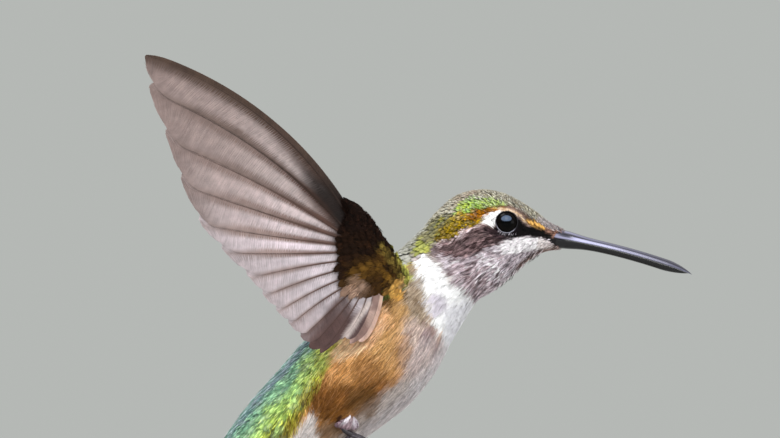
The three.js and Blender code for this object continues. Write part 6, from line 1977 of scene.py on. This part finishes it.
# ------------------------------------------------------------------ feathers round the eyelids
def lid_feathers():
    g = np.random.default_rng(71)
    coat = Coat()
    for side in (-1, 1):
        # a polar sheet round each eye, laid just over the skin
        rr = np.linspace(1.30, 2.05, 40)
        ph = np.arange(200) / 200 * 2 * np.pi
        R, PH = np.meshgrid(rr, ph, indexing="ij")
        A = eye_axis(side)
        x = unit(np.array([1, 0, 0.0]) - A * A[0])
        z = np.cross(x, A)
        if z[2] < 0:
            z = -z
        rim = math.sqrt(EYE_R ** 2 - 1.22 ** 2)
        ring = eye_centre(side) + (x * np.cos(PH)[..., None] + z * np.sin(PH)[..., None]) * R[..., None]
        h = rim + 0.10 - 0.62 * smooth(1.32, 2.05, R)
        S = Surf(ring + A * h[..., None], True, np.zeros(R.shape))
        if (S.N[5, 5] * A).sum() < 0:
            S.N = -S.N
        for r0, n, L0 in ((1.37, 70, 0.20), (1.46, 74, 0.23), (1.56, 76, 0.26), (1.68, 78, 0.30), (1.82, 80, 0.34)):
            b = ((np.arange(n) + g.normal(0, 0.2, n)) / n) % 1.0
            a = np.full(n, (r0 - 1.30) / 0.75) + g.normal(0, 0.015, n)
            th = b * 2 * np.pi
            # the feathers fan away from the bill round the eye
            P, nn, Pa, Pb = S.axes(a, b)
            U = unit(Pa)
            C = np.cross(nn, U)
            flow = np.array([-1.0, 0, -0.25])
            rad = unit(x * np.cos(th)[:, None] + z * np.sin(th)[:, None])
            want = flow[None] * 0.8 + rad * (0.75 + 0.5 * np.maximum(0, (rad * -flow[None]).sum(-1)))[:, None]
            ang = np.arctan2((want * C).sum(-1), (want * U).sum(-1))
            col = plumage(P, g.random(n), g.random(n))
            below = smooth(-0.15, -0.6, np.sin(th))
            speck = (g.random(n) < 0.30) * below * (np.abs(np.cos(th) + 0.05) < 0.75)
            col = col * (1 - 0.88 * below)[:, None] + lin((28, 20, 26))[None] * (0.88 * below)[:, None]
            col = np.where(speck[:, None] > 0.4, lin((196, 188, 198))[None], col)
            leaves(coat, S, a, b, ang, L0, 0.105, 0.0, 0.06, col, col * 0.85, g, fringe=3, rootdark=0.8, fringe_w=0.03, fringe_len=0.3, arch=0.12)
    coat.build("coat_eyelids", M_DOWN, "head_plumage", guard=True)


lid_feathers()

# ------------------------------------------------------------------ leg tufts and feet
def leg_tuft(side, name):
    g = np.random.default_rng(81)
    rows, cols = 60, 60
    P = thigh_grid(side, rows, cols)[::-1]
    S = Surf(P, True, np.full((rows, cols), 0.22))
    mid = P.mean((0, 1))
    if ((P[30, 10] - mid) * S.N[30, 10]).sum() < 0:
        S.N = -S.N
    a, b = S.scatter(420, None, 81)
    p = S.at(a, b, np.full(len(a), 0.2))[0]
    r = g.random(len(a))
    u, v = side_view(p[:, 0], p[:, 2])
    col = plumage(p, r, g.random(len(a))) * 0.8
    col = layer(col, poly(u, v, [(339, 421), (348, 415), (357, 410), (361, 412), (359, 424), (353, 433), (345, 432), (338, 428)], 3) * 0.95, (222, 202, 208), (150, 122, 128), r)
    # painted shadow: a dark curved line along the tuft's left edge
    col = layer(col, line(u, v, [(343, 413), (337, 418), (334, 425), (338, 432), (346, 436)], 3.4, 3), (44, 26, 20), (28, 14, 12), r)
    coat = Coat()
    ang = toward(S, a, b, np.array([-0.62, 0, -0.78])) + g.normal(0, 0.2, len(a))
    locks(coat, S, a, b, ang, 1.0, 0.26, 0.02, 0.20 + 0.12 * g.random(len(a)), col, g, pairs=2, wide=0.055, curl=0.0, rootdark=0.6, vary=0.3)
    # longer white feathers that hang over the ankle
    plan = [(356.5, 410.5, 1.9, 0.0), (355, 412, 2.0, 0.05), (353.5, 413, 2.0, 0.1), (352, 413.5, 1.9, 0.2), (350.5, 415, 1.7, 0.3), (356, 414, 1.8, -0.1), (354.5, 416, 1.7, 0.0), (357, 417, 1.4, -0.25),
            (348, 416, 1.5, 0.3), (346, 417.5, 1.4, 0.35), (344, 419, 1.3, 0.3), (342, 419.5, 1.2, 0.2), (340, 421, 1.0, 0.2), (355, 419.5, 1.3, -0.3), (352, 419, 1.4, 0.0), (349, 420.5, 1.2, 0.15), (346, 422, 1.0, 0.3)]
    plan = plan + [(m[0] + 0.9 * g.normal(), m[1] + 0.9 * g.normal(), m[2] * 0.9, m[3]) for m in plan]
    ab = np.array([spot(S, u_, v_, side) for u_, v_, _, _ in plan])
    n = len(plan)
    ang = toward(S, ab[:, 0], ab[:, 1], np.array([-0.62, 0, -0.78])) + np.array([m[3] for m in plan]) * 0.5 * side + g.normal(0, 0.06, n)
    main = np.where((np.arange(n) % 17 < 9)[:, None], lin((240, 232, 240)), lin((190, 164, 174))) * (0.55 + 0.5 * g.random((n, 1)))
    main = np.where((np.arange(n) % 5 == 3)[:, None], lin((104, 74, 90)), main)
    leaves(coat, S, ab[:, 0], ab[:, 1], ang, np.array([m[2] for m in plan]) * 0.9, 0.15, 0.16, 0.44 + 0.1 * g.random(n), main, main * np.array([0.62, 0.54, 0.58]), g, fringe=8, rootdark=0.6, fringe_w=0.035, fringe_len=0.30, arch=0.2)
    locks(coat, S, ab[:, 0], ab[:, 1], ang + g.normal(0, 0.12, n), np.array([m[2] for m in plan]) * 1.0, 0.22, 0.2, 0.56, main * 1.1, g, pairs=2, wide=0.045, rootdark=0.7, vary=0.4)
    coat.build("coat_leg_" + name, M_DOWN, "leg_tuft", guard=False)


def tube(points, radii, sides, scute=0.0, scutes=0, ratio=1.0, seed=0):
    pts = np.asarray(points, float)
    rows = 40
    sh = np.linspace(0, 1, rows)
    C = curve_through(pts, sh)
    R = np.interp(sh, np.linspace(0, 1, len(radii)), radii)
    d = unit(np.gradient(C, axis=0))
    x = unit(np.cross(np.array([0, 1.0, 0]), d))
    y = np.cross(d, x)
    turn = np.arange(sides) / sides * 2 * np.pi
    ridge = np.abs(np.sin(sh * np.pi * scutes)) ** 0.6 if scutes else np.zeros(rows)
    up = np.clip(-np.sin(turn + 0.6), 0, 1)
    rad = R[:, None] * (1 - scute + scute * (ridge[:, None] * (0.4 + 0.6 * np.abs(np.cos(turn))[None])))
    return C[:, None] + y[:, None] * (np.cos(turn)[None, :, None] * rad[..., None]) + x[:, None] * (np.sin(turn)[None, :, None] * rad[..., None] * ratio)


def foot(side, name):
    bag = Bag()
    ankle, knuckle = np.array([2.75, -6.30, 36.15]), np.array([3.75, -6.25, 35.55])

    def put(R, colour, claw_from=None):
        R = R * np.array([1, -side, 1])
        v, q, caps = ring_solid(R)
        tri = np.concatenate([np.stack([q[:, 0], q[:, 1], q[:, 2]], 1), np.stack([q[:, 0], q[:, 2], q[:, 3]], 1), caps])
        vc = v.mean(0)
        if np.einsum("ij,ij->i", v[tri[:, 0]] - vc, np.cross(v[tri[:, 1]] - vc, v[tri[:, 2]] - vc)).sum() < 0:
            tri = tri[:, ::-1]
        rows, cols = R.shape[:2]
        sh = np.repeat(np.linspace(0, 1, rows), cols)
        c = np.repeat(lin(colour)[None], rows * cols, 0)
        c = c * (0.8 + 0.4 * noise3(R.reshape(-1, 3), 0.3))[:, None]
        if claw_from is not None:
            w = smooth(claw_from - 0.03, claw_from + 0.03, sh)[:, None]
            c = c * (1 - w) + lin((24, 20, 24)) * w
        bag.add(v, tri, np.concatenate([c, c[:1], c[-1:]]))

    put(tube([ankle + (0.1, 0.75, 0.35), ankle + (0.05, 0.2, 0.12), (3.15, -6.35, 35.90), knuckle + (0.1, 0, -0.05)], [0.26, 0.34, 0.34, 0.38], 18, 0.10, 9), (32, 26, 32))
    for reach, y, drop in ((2.4, -6.55, 0.1), (2.8, -6.05, -0.12), (2.2, -5.6, 0.05)):
        path = []
        for i in range(7):
            s = i / 6
            curl = max(0, s - 0.55) / 0.45
            path.append((knuckle[0] - 0.25 + reach * s - 0.3 * curl * curl, knuckle[1] + (y - knuckle[1]) * min(1, s * 2),
                         knuckle[2] + 0.12 - 0.42 * reach * s - drop - 0.75 * curl * curl))
        put(tube(path, [0.27, 0.28, 0.25, 0.28, 0.25, 0.20, 0.03], 14, 0.14, 12), (44, 38, 46), 0.76)
    put(tube([knuckle, (3.15, -6.05, 34.85), (3.35, -5.97, 34.25), (3.9, -5.95, 33.98)], [0.28, 0.27, 0.25, 0.03], 14, 0.14, 8), (44, 38, 46), 0.72)
    v, f, c, u, n = bag.arrays()
    ob = make_mesh("foot_scaled_" + name, v, f, c, material=foot_m)
    place(ob, "foot_skin", "foot_" + name)


foot_m, nt, bsdf = material("foot skin", 0.45, 0.0, 0.5)
at = node(nt, "ShaderNodeAttribute", attribute_name="Col")
fc, _ = varied(nt, at.outputs["Color"], 3500.0, 0.8, 1.2)
nt.links.new(fc, bsdf.inputs["Base Color"])
vo = nt.nodes.new("ShaderNodeTexVoronoi")
vo.inputs["Scale"].default_value = 7000.0
nt.links.new(object_coords(nt), vo.inputs["Vector"])
add_bump(nt, bsdf, vo.outputs["Distance"], 0.4, 0.00004)
for s_, n_ in ((-1, "right"), (1, "left")):
    leg_tuft(s_, n_)
    foot(s_, n_)
print("legs done")


# ------------------------------------------------------------------ stand
def lathe(name, profile, sides, mat, slot, nodes):
    pr = np.asarray(profile, float)
    turn = np.arange(sides) / sides * 2 * np.pi
    P = np.stack([pr[:, 0:1] * np.cos(turn)[None], pr[:, 0:1] * np.sin(turn)[None], np.repeat(pr[:, 1:2], sides, 1)], -1)
    v, q, caps = ring_solid(P)
    if np.einsum("ij,ij->i", v[q[:, 0]] - v.mean(0), np.cross(v[q[:, 1]] - v.mean(0), v[q[:, 2]] - v.mean(0))).sum() < 0:
        q, caps = q[:, ::-1], caps[:, ::-1]
    ob = make_mesh(name, v, [q, caps], material=mat)
    ob.data.set_sharp_from_angle(angle=math.radians(40))
    return place(ob, slot, *nodes)


wood, nt, bsdf = material("walnut", 0.5, 0.0, 0.3)
vec = object_coords(nt, (1.0, 0.22, 1.0))
warp = nt.nodes.new("ShaderNodeTexNoise")
warp.inputs["Scale"].default_value = 34.0
warp.inputs["Detail"].default_value = 3.0
nt.links.new(vec, warp.inputs["Vector"])
wmix = nt.nodes.new("ShaderNodeVectorMath")
wmix.operation = "MULTIPLY_ADD"
wmix.inputs[1].default_value = (0.012, 0.012, 0.012)
nt.links.new(warp.outputs["Color"], wmix.inputs[0])
nt.links.new(vec, wmix.inputs[2])
wave = nt.nodes.new("ShaderNodeTexWave")
wave.wave_type = "BANDS"
wave.bands_direction = "X"
wave.inputs["Scale"].default_value = 95.0
wave.inputs["Distortion"].default_value = 6.0
wave.inputs["Detail"].default_value = 3.0
wave.inputs["Detail Scale"].default_value = 1.5
nt.links.new(wmix.outputs["Vector"], wave.inputs["Vector"])
pore = nt.nodes.new("ShaderNodeTexNoise")
pore.inputs["Scale"].default_value = 1800.0
pore.inputs["Detail"].default_value = 2.0
nt.links.new(object_coords(nt, (1.0, 0.05, 1.0)), pore.inputs["Vector"])
ramp = nt.nodes.new("ShaderNodeValToRGB")
ramp.color_ramp.elements[0].color = (*lin((76, 48, 32)), 1)
ramp.color_ramp.elements[1].color = (*lin((100, 66, 43)), 1)
el = ramp.color_ramp.elements.new(0.55)
el.color = (*lin((90, 58, 37)), 1)
nt.links.new(wave.outputs["Fac"], ramp.inputs["Fac"])
pm = nt.nodes.new("ShaderNodeMapRange")
pm.inputs["From Min"].default_value, pm.inputs["From Max"].default_value = 0.30, 0.46
pm.inputs["To Min"].default_value, pm.inputs["To Max"].default_value = 0.62, 1.0
nt.links.new(pore.outputs["Fac"], pm.inputs["Value"])
vm = nt.nodes.new("ShaderNodeVectorMath")
vm.operation = "SCALE"
nt.links.new(ramp.outputs["Color"], vm.inputs[0])
nt.links.new(pm.outputs["Result"], vm.inputs["Scale"])
nt.links.new(vm.outputs["Vector"], bsdf.inputs["Base Color"])
add_bump(nt, bsdf, pore.outputs["Fac"], 0.15, 0.0001)
bsdf.inputs["Coat Weight"].default_value = 0.15
bsdf.inputs["Coat Roughness"].default_value = 0.25

steel, nt, bsdf = material("brushed steel", 0.30, 1.0, 0.5)
ns = nt.nodes.new("ShaderNodeTexNoise")
ns.inputs["Scale"].default_value = 3000.0
ns.inputs["Detail"].default_value = 2.0
nt.links.new(object_coords(nt, (0.3, 0.3, 4.0)), ns.inputs["Vector"])
rp = nt.nodes.new("ShaderNodeValToRGB")
rp.color_ramp.elements[0].color = (0.42, 0.43, 0.45, 1)
rp.color_ramp.elements[1].color = (0.62, 0.63, 0.65, 1)
nt.links.new(ns.outputs["Fac"], rp.inputs["Fac"])
nt.links.new(rp.outputs["Color"], bsdf.inputs["Base Color"])
add_bump(nt, bsdf, ns.outputs["Fac"], 0.12, 0.00003)

base_profile = [(1e-3, 0.0), (25.2, 0.0), (25.55, 0.05), (25.85, 0.2), (26.0, 0.5), (26.0, 3.3), (25.93, 3.75), (25.7, 4.05), (25.25, 4.2), (24.95, 4.25), (24.9, 4.45),
                (24.75, 4.75), (24.4, 4.93), (23.9, 5.0), (1.75, 5.0), (1.6, 4.96), (1.5, 4.85), (1.35, 4.7), (1.3, 4.5), (1.3, 1.75), (1e-3, 1.7)]
lathe("stand_base_turned", base_profile, 160, wood, "stand_wood", ["stand_base"])
rod_profile = [(1e-3, 2.0), (0.9, 2.0), (1.0, 2.1), (1.0, 37.9), (0.9, 38.0), (1e-3, 38.0)]
rp_ = []
for (r0, z0), (r1, z1) in zip(rod_profile[:-1], rod_profile[1:]):
    rp_ += [(r0 + (r1 - r0) * k / 6, z0 + (z1 - z0) * k / 6) for k in range(6)]
lathe("stand_rod_turned", rp_ + [rod_profile[-1]], 64, steel, "stand_steel", ["stand_rod"])


# ------------------------------------------------------------------ stage, light and camera
floor_m, nt, bsdf = material("floor", 0.85, 0.0, 0.2)
bsdf.inputs["Base Color"].default_value = (0.42, 0.43, 0.42, 1)
fl = bpy.data.meshes.new("floor")
N_ = 96
fl.from_pydata([(0, 0, 0)] + [(1.7 * math.cos(i * 2 * math.pi / N_), 1.7 * math.sin(i * 2 * math.pi / N_), 0) for i in range(N_)], [], [(0, 1 + i, 1 + (i + 1) % N_) for i in range(N_)])
fl.materials.append(floor_m)
floor = bpy.data.objects.new("floor", fl)
floor.location = (0, 0, -0.0002)
bpy.context.scene.collection.objects.link(floor)

world = bpy.data.worlds.new("world")
bpy.context.scene.world = world
world.use_nodes = True
# a studio that is bright overhead, grey all round and dim below
nt = world.node_tree
tc = nt.nodes.new("ShaderNodeTexCoord")
sx = nt.nodes.new("ShaderNodeSeparateXYZ")
up = nt.nodes.new("ShaderNodeMapRange")
up.inputs["From Min"].default_value, up.inputs["From Max"].default_value = -1.0, 1.0
rp = nt.nodes.new("ShaderNodeValToRGB")
rp.color_ramp.elements[0].position, rp.color_ramp.elements[0].color = 0.30, (0.12, 0.125, 0.12, 1)
rp.color_ramp.elements[1].position, rp.color_ramp.elements[1].color = 0.86, (1.0, 1.0, 1.0, 1)
for at_, c_ in ((0.485, (0.37, 0.385, 0.37, 1)), (0.54, (0.37, 0.385, 0.37, 1))):
    el = rp.color_ramp.elements.new(at_)
    el.color = c_
nt.links.new(tc.outputs["Generated"], sx.inputs["Vector"])
nt.links.new(sx.outputs["Z"], up.inputs["Value"])
nt.links.new(up.outputs["Result"], rp.inputs["Fac"])
nt.links.new(rp.outputs["Color"], nt.nodes["Background"].inputs["Color"])
nt.nodes["Background"].inputs["Strength"].default_value = 1.25


def area(name, at, to, size, power, colour=(1, 1, 1)):
    from mathutils import Vector
    d = bpy.data.lights.new(name, "AREA")
    d.shape = "DISK"
    d.size = size
    d.energy = power
    d.color = colour
    ob = bpy.data.objects.new(name, d)
    ob.location = at
    ob.rotation_euler = (Vector(to) - Vector(at)).to_track_quat("-Z", "Y").to_euler()
    bpy.context.scene.collection.objects.link(ob)
    return ob


# a broad soft light for the eyes alone, as a window in front of and over the bird
seen = bpy.data.collections.new("lit by the eye light")
for n_ in ("eyeball_right", "eyeball_left"):
    seen.objects.link(bpy.data.objects[n_])
for s_ in (-1, 1):
    eye_light = area(f"eye light {s_}", (0.040, s_ * 0.46, 0.40), (0.0223, s_ * 0.0045, 0.06085), 0.5, 60.0, (0.48, 0.66, 1.0))
    eye_light.data.shape = "ELLIPSE"
    eye_light.data.size, eye_light.data.size_y = 0.95, 0.52
    eye_light.visible_diffuse = False
    eye_light.light_linking.receiver_collection = seen

MID = (0.005, 0, 0.05)
area("key", (0.04, -0.58, 0.48), MID, 0.34, 3.6, (1.0, 0.99, 0.98))
area("top", (-0.26, -0.16, 0.70), MID, 0.34, 2.6, (1.0, 0.99, 0.97))
area("fill", (0.55, -0.40, 0.08), MID, 0.35, 0.9, (0.97, 0.98, 1.0))
area("rim", (-0.30, 0.50, 0.35), MID, 0.30, 1.2, (0.96, 0.99, 1.0))

cam = bpy.data.cameras.new("camera")
cam.sensor_width = 36.0
cam.sensor_fit = "HORIZONTAL"
cam.lens = 577.0
cam.clip_start, cam.clip_end = 0.05, 20
camera = bpy.data.objects.new("camera", cam)
camera.location = (0.0084, -1.5, 0.06128)
camera.rotation_euler = (math.pi / 2, 0, 0)
bpy.context.scene.collection.objects.link(camera)
bpy.context.scene.camera = camera
bpy.context.scene.view_settings.view_transform = "Standard"
